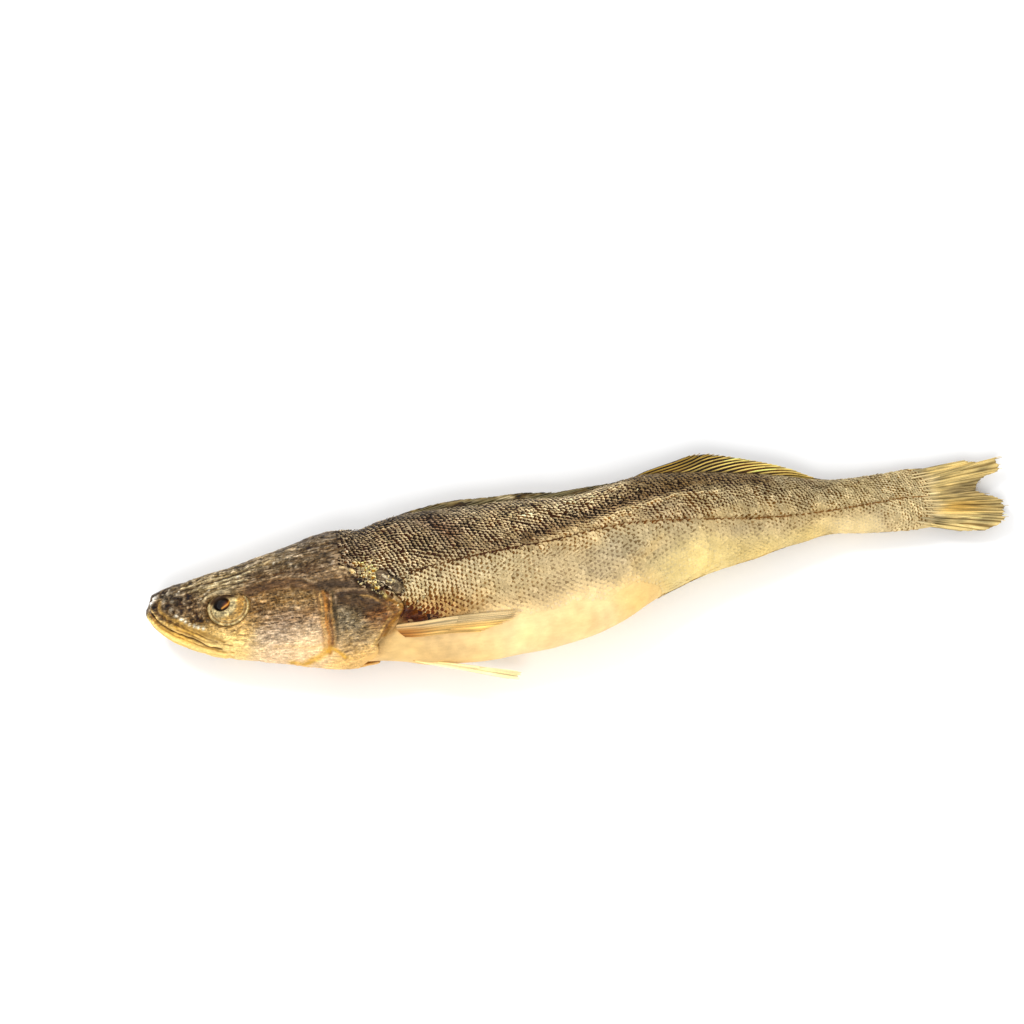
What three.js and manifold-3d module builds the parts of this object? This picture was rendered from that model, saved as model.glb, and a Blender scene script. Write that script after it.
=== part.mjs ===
// Dried salted zander: one whole fish with its skin on, dried stiff while lying on its right side.
// It is a single solid. X runs from the snout to the tail, Y from the belly to the back, and Z up
// through the left flank, in millimetres. The origin is on the table, under the middle of the fish.

import * as THREE from 'three';
import { mergeVertices } from 'three/addons/utils/BufferGeometryUtils.js';
import Module from 'manifold-3d';

const wasm = await Module();
wasm.setup();

// ---------------------------------------------------------------- driving dimensions

// Cross-sections of the body: distance from the snout, the back's and the belly's place across,
// half the thickness, and the height of the middle plane, which sinks towards the tail.
const STATIONS = [
  [0, 1, -2, 0, 16.5],
  [4, 8, -9, 5.5, 16.6],
  [20, 11.5, -20, 10.5, 17.2],
  [38, 14.5, -27.5, 14, 17.9],
  [60, 19, -33, 17, 18.5],
  [88, 25.5, -38.5, 19, 19.2],
  [100, 24.5, -38, 19.5, 19.4],
  [112, 27.5, -39.5, 19.7, 19.4],
  [126, 29.5, -43, 20, 19.5],
  [150, 29.5, -45, 20.5, 19.5],
  [175, 29, -43.5, 20.4, 19.5],
  [198, 27.5, -40.5, 19.3, 19.5],
  [216, 30.5, -34.5, 17.6, 18.8],
  [237, 34, -24, 15.6, 17.9],
  [255, 33, -18, 14, 16.6],
  [280, 30, -12, 11.7, 14.7],
  [305, 25.5, -6.5, 9.2, 12.6],
  [320, 22, -4, 8, 11.4],
  [335, 21.5, -5.5, 6.9, 10.4],
  [348, 22.5, -6.5, 5.6, 9.6],
  [358, 24, -6, 2.6, 9.2],
];
const SIDES = 26;
const HEAD_RINGS = 22;
const TRUNK_RINGS = 34;
const SNOUT_CROWDING = 1.3;

// How narrow the back's ridge and the belly's are, as powers of the angle's cosine. The head is
// flat on top, and the trunk behind it has a sharper back.
const PINCH = { head: 0.85, back: 1.25, belly: 1.1, from: 55, to: 135 };

// The gill cover's rear edge, as angle and distance from the snout, which the rings of the loft
// follow. Angles are in degrees up from the middle of the flank: 90 is the back, -90 the belly.
const GILL_EDGE = [
  [-90, 97], [-72, 103], [-57, 103], [-40, 111.5], [-25, 117], [-6, 108], [10, 101], [30, 97.5], [90, 97],
];
const GILL = { root: 97, reach: 38, gap: 0.6 };
const GILL_COVER = { lift: 1.7, rise: 32, fadeFrom: 16, fadeTo: 30 };

// The long hollow under the back, where the flesh shrank between the fins.
const HOLLOW = { from: 138, to: 285, startAngle: 14, endAngle: 40, spread: 13, depth: 1.6 };

const EYE = { at: 38.5, angle: -9, radius: 9.5, depth: 5, sink: 3.2 };
const LIP_RADIUS = 1.2;
const JAW_FRONT = 2.5;
const SNOUT_TIP = 0.6;
const MOUTH_CUT = 0.8;
const CHEEK_RIDGE = { front: 84, back: 71, top: 6, bottom: -80, radius: 1.3 };
const TABLE_CUT = 20;

// A fin's ray at its tip, and the web between two rays as a share of the ray's thickness.
const FIN_TIP = 0.8;
const FIN_WEB = 0.6;

const SKIN_COLOUR = 0xa8926a;

// ---------------------------------------------------------------- curves and numbers

const radians = THREE.MathUtils.degToRad;
const range = (count) => Array.from({ length: count }, (_, i) => i);
const mix = THREE.MathUtils.lerp;
const bell = (t) => Math.exp(-t * t);
const ease = (from, to, t) => THREE.MathUtils.smoothstep(t, from, to);

// A smooth curve through the points that never overshoots between them.
function curveThrough(xs, ys) {
  const steps = xs.slice(1).map((x, i) => x - xs[i]);
  const slopes = steps.map((step, i) => (ys[i + 1] - ys[i]) / step);
  const tangents = xs.map((_, i) => {
    if (i === 0) return slopes[0];
    if (i === xs.length - 1) return slopes[i - 1];
    if (slopes[i - 1] * slopes[i] <= 0) return 0;
    const before = 2 * steps[i] + steps[i - 1];
    const after = steps[i] + 2 * steps[i - 1];
    return (before + after) / (before / slopes[i - 1] + after / slopes[i]);
  });
  return (x) => {
    const held = THREE.MathUtils.clamp(x, xs[0], xs[xs.length - 1]);
    const last = xs.findIndex((value, i) => i > 0 && held <= value);
    const i = Math.max(last, 1) - 1;
    const t = (held - xs[i]) / steps[i];
    const start = (1 + 2 * t) * (1 - t) ** 2 * ys[i] + t * (1 - t) ** 2 * steps[i] * tangents[i];
    const end = t * t * (3 - 2 * t) * ys[i + 1] + t * t * (t - 1) * steps[i] * tangents[i + 1];
    return start + end;
  };
}

const stationColumn = (k) => STATIONS.map((row) => row[k]);
const [back, belly, half, middle] = [1, 2, 3, 4].map((k) => curveThrough(stationColumn(0), stationColumn(k)));
const BODY_LENGTH = STATIONS[STATIONS.length - 1][0];

// ---------------------------------------------------------------- the skin

const gillEdge = curveThrough(GILL_EDGE.map((point) => point[0]), GILL_EDGE.map((point) => point[1]));

// How far a point ahead of the gill cover's edge stands proud of the smooth body.
function gillLift(along, angle) {
  const edge = gillEdge(angle);
  const open = 1 - ease(GILL_COVER.fadeFrom, GILL_COVER.fadeTo, angle);
  if (along > edge + GILL.gap / 2) return 0;
  return GILL_COVER.lift * open * ease(edge - GILL_COVER.rise, edge, along);
}

function hollow(along, angle) {
  const t = (along - HOLLOW.from) / (HOLLOW.to - HOLLOW.from);
  const window = ease(0, 0.3, t) * (1 - ease(0.7, 1, t));
  const line = mix(HOLLOW.startAngle, HOLLOW.endAngle, t);
  return HOLLOW.depth * window * bell((angle - line) / HOLLOW.spread);
}

// The point of the skin at a distance from the snout and an angle, on the left side (side = 1)
// or the right (side = -1), standing proud by lift.
function skin(along, angle, side = 1, lift = 0) {
  const rise = Math.sin(radians(angle));
  const backPinch = mix(PINCH.head, PINCH.back, ease(PINCH.from, PINCH.to, along));
  const reach = Math.abs(Math.cos(radians(angle))) ** (rise > 0 ? backPinch : PINCH.belly);
  const proud = lift + gillLift(along, angle) - hollow(along, angle);
  const tall = (back(along) - belly(along)) / 2;
  const across = (tall + proud * Math.abs(rise)) * rise;
  return corePoint(along).add(new THREE.Vector3(0, across, side * reach * (half(along) + proud)));
}

// The point in the middle of a cross-section.
const corePoint = (along) => new THREE.Vector3(along, (back(along) + belly(along)) / 2, middle(along));

// One ring of the loft. Near the gill cover the rings bend to follow its edge.
function ring(along) {
  const bend = bell((along - GILL.root) / GILL.reach);
  return range(SIDES).map((k) => {
    const turn = (k / SIDES) * 360 - 90;
    const side = turn <= 90 ? 1 : -1;
    const angle = side > 0 ? turn : 180 - turn;
    return skin(along + (gillEdge(angle) - GILL.root) * bend, angle, side);
  });
}

function bodySolid() {
  const head = range(HEAD_RINGS).map((i) => GILL.root * ((i + 1) / HEAD_RINGS) ** SNOUT_CROWDING);
  const trunk = range(TRUNK_RINGS).map((i) => mix(GILL.root + GILL.gap, BODY_LENGTH, i / (TRUNK_RINGS - 1)));
  const rings = [...head, ...trunk].map(ring);
  const points = [...rings.flat(), corePoint(0), corePoint(BODY_LENGTH)];
  const snoutPoint = points.length - 2;
  const tailPoint = points.length - 1;
  const lastRing = (rings.length - 1) * SIDES;
  const triangles = [];
  for (let k = 0; k < SIDES; k += 1) {
    const next = (k + 1) % SIDES;
    triangles.push([snoutPoint, k, next], [tailPoint, lastRing + next, lastRing + k]);
    for (let r = 0; r < rings.length - 1; r += 1) {
      const a = r * SIDES + k;
      const b = r * SIDES + next;
      triangles.push([a, b + SIDES, b], [a, a + SIDES, b + SIDES]);
    }
  }
  return solidFrom(points, triangles);
}

// ---------------------------------------------------------------- solids

function solidFrom(points, triangles) {
  const vertProperties = new Float32Array(points.flatMap((p) => p.toArray()));
  const triVerts = new Uint32Array(triangles.flat());
  return new wasm.Manifold(new wasm.Mesh({ numProp: 3, vertProperties, triVerts }));
}

function solidOf(geometry) {
  geometry.deleteAttribute('normal');
  geometry.deleteAttribute('uv');
  const merged = mergeVertices(geometry);
  const vertProperties = new Float32Array(merged.attributes.position.array);
  const triVerts = new Uint32Array(merged.index.array);
  return new wasm.Manifold(new wasm.Mesh({ numProp: 3, vertProperties, triVerts }));
}

function rod(points, radius, steps, sides = 5) {
  const outline = range(sides).map((k) => {
    const turn = (k / sides) * 2 * Math.PI;
    return new THREE.Vector2(radius * Math.cos(turn), radius * Math.sin(turn));
  });
  const extrudePath = new THREE.CatmullRomCurve3(points);
  return solidOf(new THREE.ExtrudeGeometry(new THREE.Shape(outline), { steps, extrudePath }));
}

// A fin is a closed sheet, thick along each ray and thin between two rays. place(across, out)
// gives the point of its middle surface, and facing(across, out) the way its face looks.
function finSolid({ rays, rows, place, facing, rootThickness }) {
  const columns = 2 * rays - 1;
  const points = [];
  for (const face of [1, -1]) {
    for (let c = 0; c < columns; c += 1) {
      for (let r = 0; r <= rows; r += 1) {
        const across = c / (columns - 1);
        const out = r / rows;
        const ray = mix(rootThickness, FIN_TIP, Math.sqrt(out));
        const thickness = c % 2 === 0 ? ray : ray * FIN_WEB;
        points.push(place(across, out).addScaledVector(facing(across, out), (face * thickness) / 2));
      }
    }
  }
  const size = columns * (rows + 1);
  const at = (c, r) => c * (rows + 1) + r;
  const triangles = [];
  for (let c = 0; c < columns - 1; c += 1) {
    for (let r = 0; r < rows; r += 1) {
      const [a, b, d, e] = [at(c, r), at(c + 1, r), at(c, r + 1), at(c + 1, r + 1)];
      triangles.push([a, b, e], [a, e, d]);
      triangles.push([a + size, e + size, b + size], [a + size, d + size, e + size]);
    }
  }
  const rim = [];
  for (let c = 0; c < columns - 1; c += 1) {
    rim.push([at(c, 0), at(c + 1, 0)], [at(c + 1, rows), at(c, rows)]);
  }
  for (let r = 0; r < rows; r += 1) {
    rim.push([at(columns - 1, r), at(columns - 1, r + 1)], [at(0, r + 1), at(0, r)]);
  }
  for (const [a, b] of rim) triangles.push([b, a, a + size], [b, a + size, b + size]);
  const fin = solidFrom(points, triangles);
  return fin.volume() > 0 ? fin : solidFrom(points, triangles.map(([a, b, c]) => [a, c, b]));
}

// ---------------------------------------------------------------- fins

const LEFT = new THREE.Vector3(0, 0, 1);
const leftward = () => LEFT;

// A fin that stands along the back's ridge, its rays leaning towards the tail.
function ridgeFin({ from, to, lean, height, rays, rows }) {
  const place = (across, out) => {
    const root = mix(from, to, across);
    const along = root + lean(across) * out;
    const foot = back(root) - 2;
    const crest = back(along) + height(along);
    return new THREE.Vector3(along, mix(foot, crest, out), middle(along));
  };
  return finSolid({ rays, rows, place, facing: leftward, rootThickness: 2.2 });
}

function spinyDorsal() {
  const height = (along) => 4.2 * ease(116, 150, along) * (1 - 0.55 * ease(200, 222, along));
  return ridgeFin({ from: 114, to: 204, lean: () => 16, height, rays: 14, rows: 3 });
}

function softDorsal() {
  const height = curveThrough([228, 246, 266, 292, 306, 322], [1.2, 5.2, 10.2, 7.8, 5.2, 0.6]);
  return ridgeFin({ from: 229, to: 303, lean: (across) => mix(26, 18, across), height, rays: 18, rows: 3 });
}

// The tail fin, torn at the tips: from the top ray round to the bottom one.
const TAIL_ROOT = { x: 352, top: 22.5, bottom: -5.5, bulge: 5 };
const TAIL_TIPS = [
  [388, 24], [398, 23], [405, 20], [397, 15], [391, 10],
  [398, 6], [402, 1], [402, -4], [399, -9], [391, -11], [380, -10],
];
const TAIL_DROOP = 2.6;

function tailFin() {
  const shares = TAIL_TIPS.map((_, i) => i / (TAIL_TIPS.length - 1));
  const tipX = curveThrough(shares, TAIL_TIPS.map((tip) => tip[0]));
  const tipY = curveThrough(shares, TAIL_TIPS.map((tip) => tip[1]));
  const place = (across, out) => {
    const rootX = TAIL_ROOT.x + TAIL_ROOT.bulge * Math.sin(Math.PI * across);
    const rootY = mix(TAIL_ROOT.top, TAIL_ROOT.bottom, across);
    const z = middle(BODY_LENGTH) - TAIL_DROOP * out * out;
    return new THREE.Vector3(mix(rootX, tipX(across), out), mix(rootY, tipY(across), out), z);
  };
  return finSolid({ rays: 17, rows: 5, place, facing: leftward, rootThickness: 3.4 });
}

// A fin that lies folded along the skin: its root and its tip each run between two places,
// given as distance from the snout and angle.
function foldedFin({ root, tip, side, rays, rows, lift }) {
  const spot = (across, out) => {
    const along = mix(mix(root[0][0], root[1][0], across), mix(tip[0][0], tip[1][0], across), out);
    const angle = mix(mix(root[0][1], root[1][1], across), mix(tip[0][1], tip[1][1], across), out);
    return skin(along, angle, side, lift * Math.sqrt(out) + 0.2);
  };
  const facing = (across, out) => {
    const outward = spot(across, out);
    outward.sub(corePoint(outward.x));
    return outward.setZ(outward.z * 3).normalize();
  };
  return finSolid({ rays, rows, place: spot, facing, rootThickness: 2.4 });
}

function breastFin(side) {
  const root = [[111, -36], [114, -52]];
  const tip = [[167, -36], [157, -52]];
  return foldedFin({ root, tip, side, rays: 9, rows: 6, lift: 1.2 });
}

function farPelvicFin() {
  const root = [[119, -66], [124, -56]];
  const tip = [[163, -60], [160, -46]];
  return foldedFin({ root, tip, side: -1, rays: 5, rows: 5, lift: 1 });
}

function ventFin() {
  const root = [[224, -62], [254, -62]];
  const tip = [[252, -30], [272, -40]];
  return foldedFin({ root, tip, side: -1, rays: 9, rows: 2, lift: 0.8 });
}

// The near pelvic fin stands a little away from the belly as a narrow straight blade.
function nearPelvicFin() {
  const root = [new THREE.Vector3(119, -41, 21), new THREE.Vector3(131, -43.5, 21.5)];
  const tip = [new THREE.Vector3(163, -56, 18), new THREE.Vector3(165.5, -52, 18.5)];
  const place = (across, out) => {
    const start = root[0].clone().lerp(root[1], across);
    const end = tip[0].clone().lerp(tip[1], across);
    return start.lerp(end, out);
  };
  return finSolid({ rays: 5, rows: 5, place, facing: leftward, rootThickness: 2.2 });
}

// ---------------------------------------------------------------- the head's details

function eyeBall(side) {
  const ball = new THREE.SphereGeometry(EYE.radius, 12, 6);
  ball.scale(1, 1, EYE.depth / EYE.radius);
  const place = skin(EYE.at, EYE.angle, side, -EYE.sink);
  ball.translate(place.x, place.y, place.z);
  return solidOf(ball);
}

// A line round the snout from the right corner of the mouth to the left one.
function jawLine(nearAngle, farAngle, far, lift) {
  const spots = [0, 0.12, 0.35, 0.65, 1];
  const place = (t, side) => skin(mix(JAW_FRONT, far, t), mix(nearAngle, farAngle, t), side, lift);
  const halfLine = (side) => spots.map((t) => place(t, side));
  return [...halfLine(-1).reverse(), corePoint(SNOUT_TIP), ...halfLine(1)];
}

function cheekRidge(side) {
  const spots = [0, 0.25, 0.5, 0.75, 1];
  const { front, back: rear, top, bottom, radius } = CHEEK_RIDGE;
  const points = spots.map((t) => skin(mix(front, rear, t * t), mix(top, bottom, t), side, -radius * 0.4));
  return rod(points, radius, 9);
}

// ---------------------------------------------------------------- the whole fish

function zander() {
  const upperLip = rod(jawLine(4, -46, 37, -0.5), LIP_RADIUS, 16);
  const lowerLip = rod(jawLine(-18, -62, 36, -0.6), LIP_RADIUS, 16);
  const mouth = rod(jawLine(-7, -56, 34, 0.5), MOUTH_CUT, 16, 4);
  const table = solidOf(new THREE.BoxGeometry(2 * BODY_LENGTH, BODY_LENGTH, TABLE_CUT));
  const middleFins = [spinyDorsal(), softDorsal(), tailFin(), ventFin()];
  const pairedFins = [breastFin(1), breastFin(-1), nearPelvicFin(), farPelvicFin()];
  const bones = [eyeBall(1), eyeBall(-1), cheekRidge(1), cheekRidge(-1), upperLip, lowerLip];
  const raised = [...bones, ...middleFins, ...pairedFins];
  const grown = raised.reduce((whole, piece) => whole.add(piece), bodySolid());
  return grown.subtract(mouth).subtract(table.translate([BODY_LENGTH / 2, 0, -TABLE_CUT / 2]));
}

function geometryOf(solid) {
  const mesh = solid.getMesh();
  const geometry = new THREE.BufferGeometry();
  geometry.setAttribute('position', new THREE.BufferAttribute(mesh.vertProperties, 3));
  geometry.setIndex(new THREE.BufferAttribute(mesh.triVerts, 1));
  geometry.computeVertexNormals();
  return geometry;
}

const geometry = geometryOf(zander());
geometry.computeBoundingBox();
const middleOfBox = geometry.boundingBox.getCenter(new THREE.Vector3());

const fish = new THREE.Mesh(
  geometry,
  new THREE.MeshStandardMaterial({ color: SKIN_COLOUR, roughness: 0.55, metalness: 0 }),
);
fish.name = 'zander';
fish.position.set(-middleOfBox.x, -middleOfBox.y, -geometry.boundingBox.min.z);

const group = new THREE.Group();
group.add(fish);
export default group;
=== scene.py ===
# %% [markdown]
# # A dried salted zander
# The real thing is a whole freshwater fish, salted and hung or laid out until it is as stiff as a
# board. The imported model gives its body, head and fins as one plain solid. This lesson grows the
# finished fish around that solid: skin with its folds, thousands of scales, fin rays and eyes.
# The frame comes first, because every piece has to sit where the solid sits.

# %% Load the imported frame
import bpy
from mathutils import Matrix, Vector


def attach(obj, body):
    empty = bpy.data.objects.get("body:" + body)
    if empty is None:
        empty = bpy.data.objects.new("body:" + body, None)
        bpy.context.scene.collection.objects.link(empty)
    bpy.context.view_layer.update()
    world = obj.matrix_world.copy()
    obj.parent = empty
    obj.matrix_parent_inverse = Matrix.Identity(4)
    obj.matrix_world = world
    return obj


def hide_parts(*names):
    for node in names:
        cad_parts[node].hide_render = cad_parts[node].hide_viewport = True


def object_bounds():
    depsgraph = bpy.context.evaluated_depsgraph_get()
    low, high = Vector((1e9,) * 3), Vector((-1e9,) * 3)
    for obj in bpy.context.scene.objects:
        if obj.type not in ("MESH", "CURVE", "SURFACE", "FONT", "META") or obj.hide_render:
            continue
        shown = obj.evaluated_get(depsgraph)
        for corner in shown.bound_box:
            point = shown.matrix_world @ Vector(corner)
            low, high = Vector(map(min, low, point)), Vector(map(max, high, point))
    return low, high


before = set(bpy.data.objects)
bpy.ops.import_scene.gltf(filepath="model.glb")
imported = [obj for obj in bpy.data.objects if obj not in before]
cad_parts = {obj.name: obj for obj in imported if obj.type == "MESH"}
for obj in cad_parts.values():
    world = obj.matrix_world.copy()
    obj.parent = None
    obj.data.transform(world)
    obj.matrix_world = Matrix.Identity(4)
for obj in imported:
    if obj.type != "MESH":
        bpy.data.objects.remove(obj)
cad_low, cad_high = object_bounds()
print("packed box in metres:", [round(high - low, 4) for low, high in zip(cad_low, cad_high)])

# %% The tools
import math

import bmesh
import bpy
import numpy as np
from mathutils import Vector

# %% [markdown]
# ## The fish's own millimetres
# A fish is easiest to describe in its own measures: x is the distance from the snout, y runs from
# the belly to the back, and z goes up through the left flank, which is the side that shows. The
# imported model's box tells how to get from there to the frame, so nothing is fitted by eye.

# %% From the fish's millimetres to the frame's metres
MM = 0.001
FISH_LOW = np.array([-0.45, -56.0, 0.0])
SHIFT = np.array(cad_low) / MM - FISH_LOW


def to_frame(points):
    return (np.asarray(points, float) + SHIFT) * MM


print("the snout lies at", to_frame([0, 0, 16.5]).round(4), "in the frame")

# %% [markdown]
# ## Numbers that ease and curves that pass through points
# Most shapes on a fish swell and fade smoothly. Three small helpers say that: a straight mix, an
# eased step and a bell. The fourth draws a smooth curve through given points, and never
# overshoots between them, so a body that narrows doesn't wobble.

# %% Helpers for smooth numbers
def mix(start, end, share):
    return start + (end - start) * share


def ease(start, end, value):
    share = np.clip((value - start) / (end - start), 0.0, 1.0)
    return share * share * (3 - 2 * share)


def bell(value):
    return np.exp(-value * value)


def curve_through(points):
    xs, ys = np.array(points, float).T
    steps = np.diff(xs)
    slopes = np.diff(ys) / steps
    tangents = np.zeros(len(xs))
    tangents[0], tangents[-1] = slopes[0], slopes[-1]
    for i in range(1, len(xs) - 1):
        if slopes[i - 1] * slopes[i] > 0:
            before = 2 * steps[i] + steps[i - 1]
            after = steps[i] + 2 * steps[i - 1]
            tangents[i] = (before + after) / (before / slopes[i - 1] + after / slopes[i])

    def curve(x):
        held = np.clip(x, xs[0], xs[-1])
        i = np.clip(np.searchsorted(xs, held) - 1, 0, len(steps) - 1)
        t = (held - xs[i]) / steps[i]
        start = (1 + 2 * t) * (1 - t) ** 2 * ys[i] + t * (1 - t) ** 2 * steps[i] * tangents[i]
        end = t * t * (3 - 2 * t) * ys[i + 1] + t * t * (t - 1) * steps[i] * tangents[i + 1]
        return start + end

    return curve


# %% [markdown]
# ## The body's cross-sections
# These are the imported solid's stations: how high the back and how low the belly lie, half the
# thickness, and the height of the middle plane. The last few carry the scaly skin a little way onto
# the tail fin. The long hollow under the back and the raised gill cover are part of the shape too.

# %% Stations along the body
# distance from the snout, back, belly, half thickness, height of the middle
STATIONS = [
    (0, 1, -2, 0, 16.5), (4, 8, -9, 5.5, 16.6), (20, 11.5, -20, 10.5, 17.2),
    (38, 14.5, -27.5, 14, 17.9), (60, 19, -33, 17, 18.5), (88, 25.5, -38.5, 19, 19.2),
    (100, 24.5, -38, 19.5, 19.4), (112, 27.5, -39.5, 19.7, 19.4), (126, 29.5, -43, 20, 19.5),
    (150, 29.5, -45, 20.5, 19.5), (175, 29, -43.5, 20.4, 19.5), (198, 27.5, -40.5, 19.3, 19.5),
    (216, 30.5, -34.5, 17.6, 18.8), (237, 34, -24, 15.6, 17.9), (255, 33, -18, 14, 16.6),
    (280, 30, -12, 11.7, 14.7), (305, 25.5, -6.5, 9.2, 12.6), (320, 22, -4, 8, 11.4),
    (335, 21.5, -5.5, 6.9, 10.4), (348, 22.5, -6.5, 5.2, 9.6), (358, 23.4, -7.0, 2.6, 9.3),
    (366, 23.0, -6.6, 1.1, 8.9), (371, 20.5, -3.6, 0.28, 8.2), (374, 13, 4, 0.05, 7.8),
]
back, belly, half, middle = (curve_through([(row[0], row[k]) for row in STATIONS]) for k in (1, 2, 3, 4))
BODY_LENGTH = STATIONS[-1][0]
print("the scaly body is", BODY_LENGTH, "mm long")

# %% The gill cover and the hollow under the back
# The gill cover's rear edge: angle round the body, and distance from the snout. An angle of 0 is
# the middle of the flank, 90 the ridge of the back and -90 the keel of the belly.
gill_edge = curve_through([
    (-90, 93), (-80, 97.5), (-69, 102.5), (-57, 103), (-40, 111.5), (-25, 117), (-6, 108), (10, 101),
    (30, 97.5), (90, 97),
])
GILL_ROOT = 97
GILL_REACH = 38
GILL_LIFT = 1.7
HOLLOW_START = 138
HOLLOW_END = 285
HOLLOW_DEPTH = 1.6


def gill_open(angle):
    return 1 - ease(-12, -1, angle)


def gill_cover(along, angle):
    edge = gill_edge(angle)
    proud = GILL_LIFT * gill_open(angle) * ease(edge - 32, edge, along)
    return np.where(along > edge + 0.3, 0.0, proud)


def hollow(along, angle):
    t = (along - HOLLOW_START) / (HOLLOW_END - HOLLOW_START)
    window = ease(0, 0.3, t) * (1 - ease(0.7, 1, t))
    return HOLLOW_DEPTH * window * bell((angle - mix(14, 40, t)) / 13)


print("the gill cover reaches back to", round(float(gill_edge(-25)), 1), "mm from the snout")

# %% Any place on the skin
def smooth_skin(along, angle, side, lift=0.0):
    """Points of the plain skin, standing proud by lift, on the left side (1) or the right (-1)."""
    rise = np.sin(np.radians(angle))
    back_pinch = mix(0.85, 1.25, ease(55, 135, along))
    reach = np.abs(np.cos(np.radians(angle))) ** np.where(rise > 0, back_pinch, 1.1)
    tall = (back(along) - belly(along)) / 2
    across = (back(along) + belly(along)) / 2 + (tall + lift * np.abs(rise)) * rise
    up = middle(along) + side * reach * (half(along) + lift)
    return np.stack(np.broadcast_arrays(along, across, up), -1)


def skin(along, angle, side=1, lift=0.0):
    return smooth_skin(along, angle, side, lift + gill_cover(along, angle) - hollow(along, angle))


def angle_at(along, across):
    tall = (back(along) - belly(along)) / 2
    rise = (across - (back(along) + belly(along)) / 2) / tall
    return np.degrees(np.arcsin(np.clip(rise, -0.995, 0.995)))


def on_flank(places, side=1, lift=0.0):
    along, across = np.array(places, float).T
    return skin(along, angle_at(along, across), side, lift)


print("girth of the trunk at 150 mm is", round(float(half(150.0) * 2), 1), "mm thick and",
      round(float(back(150.0) - belly(150.0)), 1), "mm tall")

# %% [markdown]
# ## Seeded randomness
# Dried skin is blotched and creased at many sizes. A lattice of random numbers, smoothed between
# its corners and stacked at halving sizes, gives soft clouds. The numbers come from whole-number
# arithmetic on the corner's place, so every run of the script grows the same fish.

# %% Clouds of smooth random values
def lattice(cell, seed):
    x, y, z = cell[..., 0], cell[..., 1], cell[..., 2]
    mixed = (x * 374761393 + y * 668265263 + z * 1440670441 + seed * 1013904223) & 0xFFFFFFFF
    mixed = ((mixed ^ (mixed >> 13)) * 1274126177) & 0xFFFFFFFF
    return ((mixed ^ (mixed >> 16)) & 0xFFFF) / 32767.5 - 1


def cloud(points, size, seed, octaves=2):
    """Values between about -1 and 1, in lumps of about size mm (one number, or one per axis)."""
    total, weight, reach = 0.0, 1.0, 0.0
    scaled = np.asarray(points, float) / np.array(size, float)
    for octave in range(octaves):
        cell = np.floor(scaled).astype(np.int64)
        part = scaled - cell
        part = part * part * (3 - 2 * part)
        value = 0.0
        for corner in np.ndindex(2, 2, 2):
            weights = np.where(corner, part, 1 - part).prod(-1)
            value = value + weights * lattice(cell + np.array(corner), seed + octave)
        total = total + weight * value
        reach += weight
        weight *= 0.6
        scaled = scaled * 2.03
    return 1.35 * total / reach


def crease(points, size, seed):
    """Thin winding lines: 1 on the line, falling to 0 away from it."""
    return 1 - np.clip(np.abs(cloud(points, size, seed, 2)) * 3.2, 0, 1)


# %% [markdown]
# ## Where things lie on the head and body
# A ridge, a fold or a slit is a line on the skin. Each is given as places on the flank (distance
# from the snout, height towards the back), laid on the skin, and then every vertex asks how far
# from the line it is. The same list makes relief and colour, so a ridge and its highlight agree.
# width is in mm, rise is how far it stands out (or sinks, below 0), cover how strongly it paints.

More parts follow.
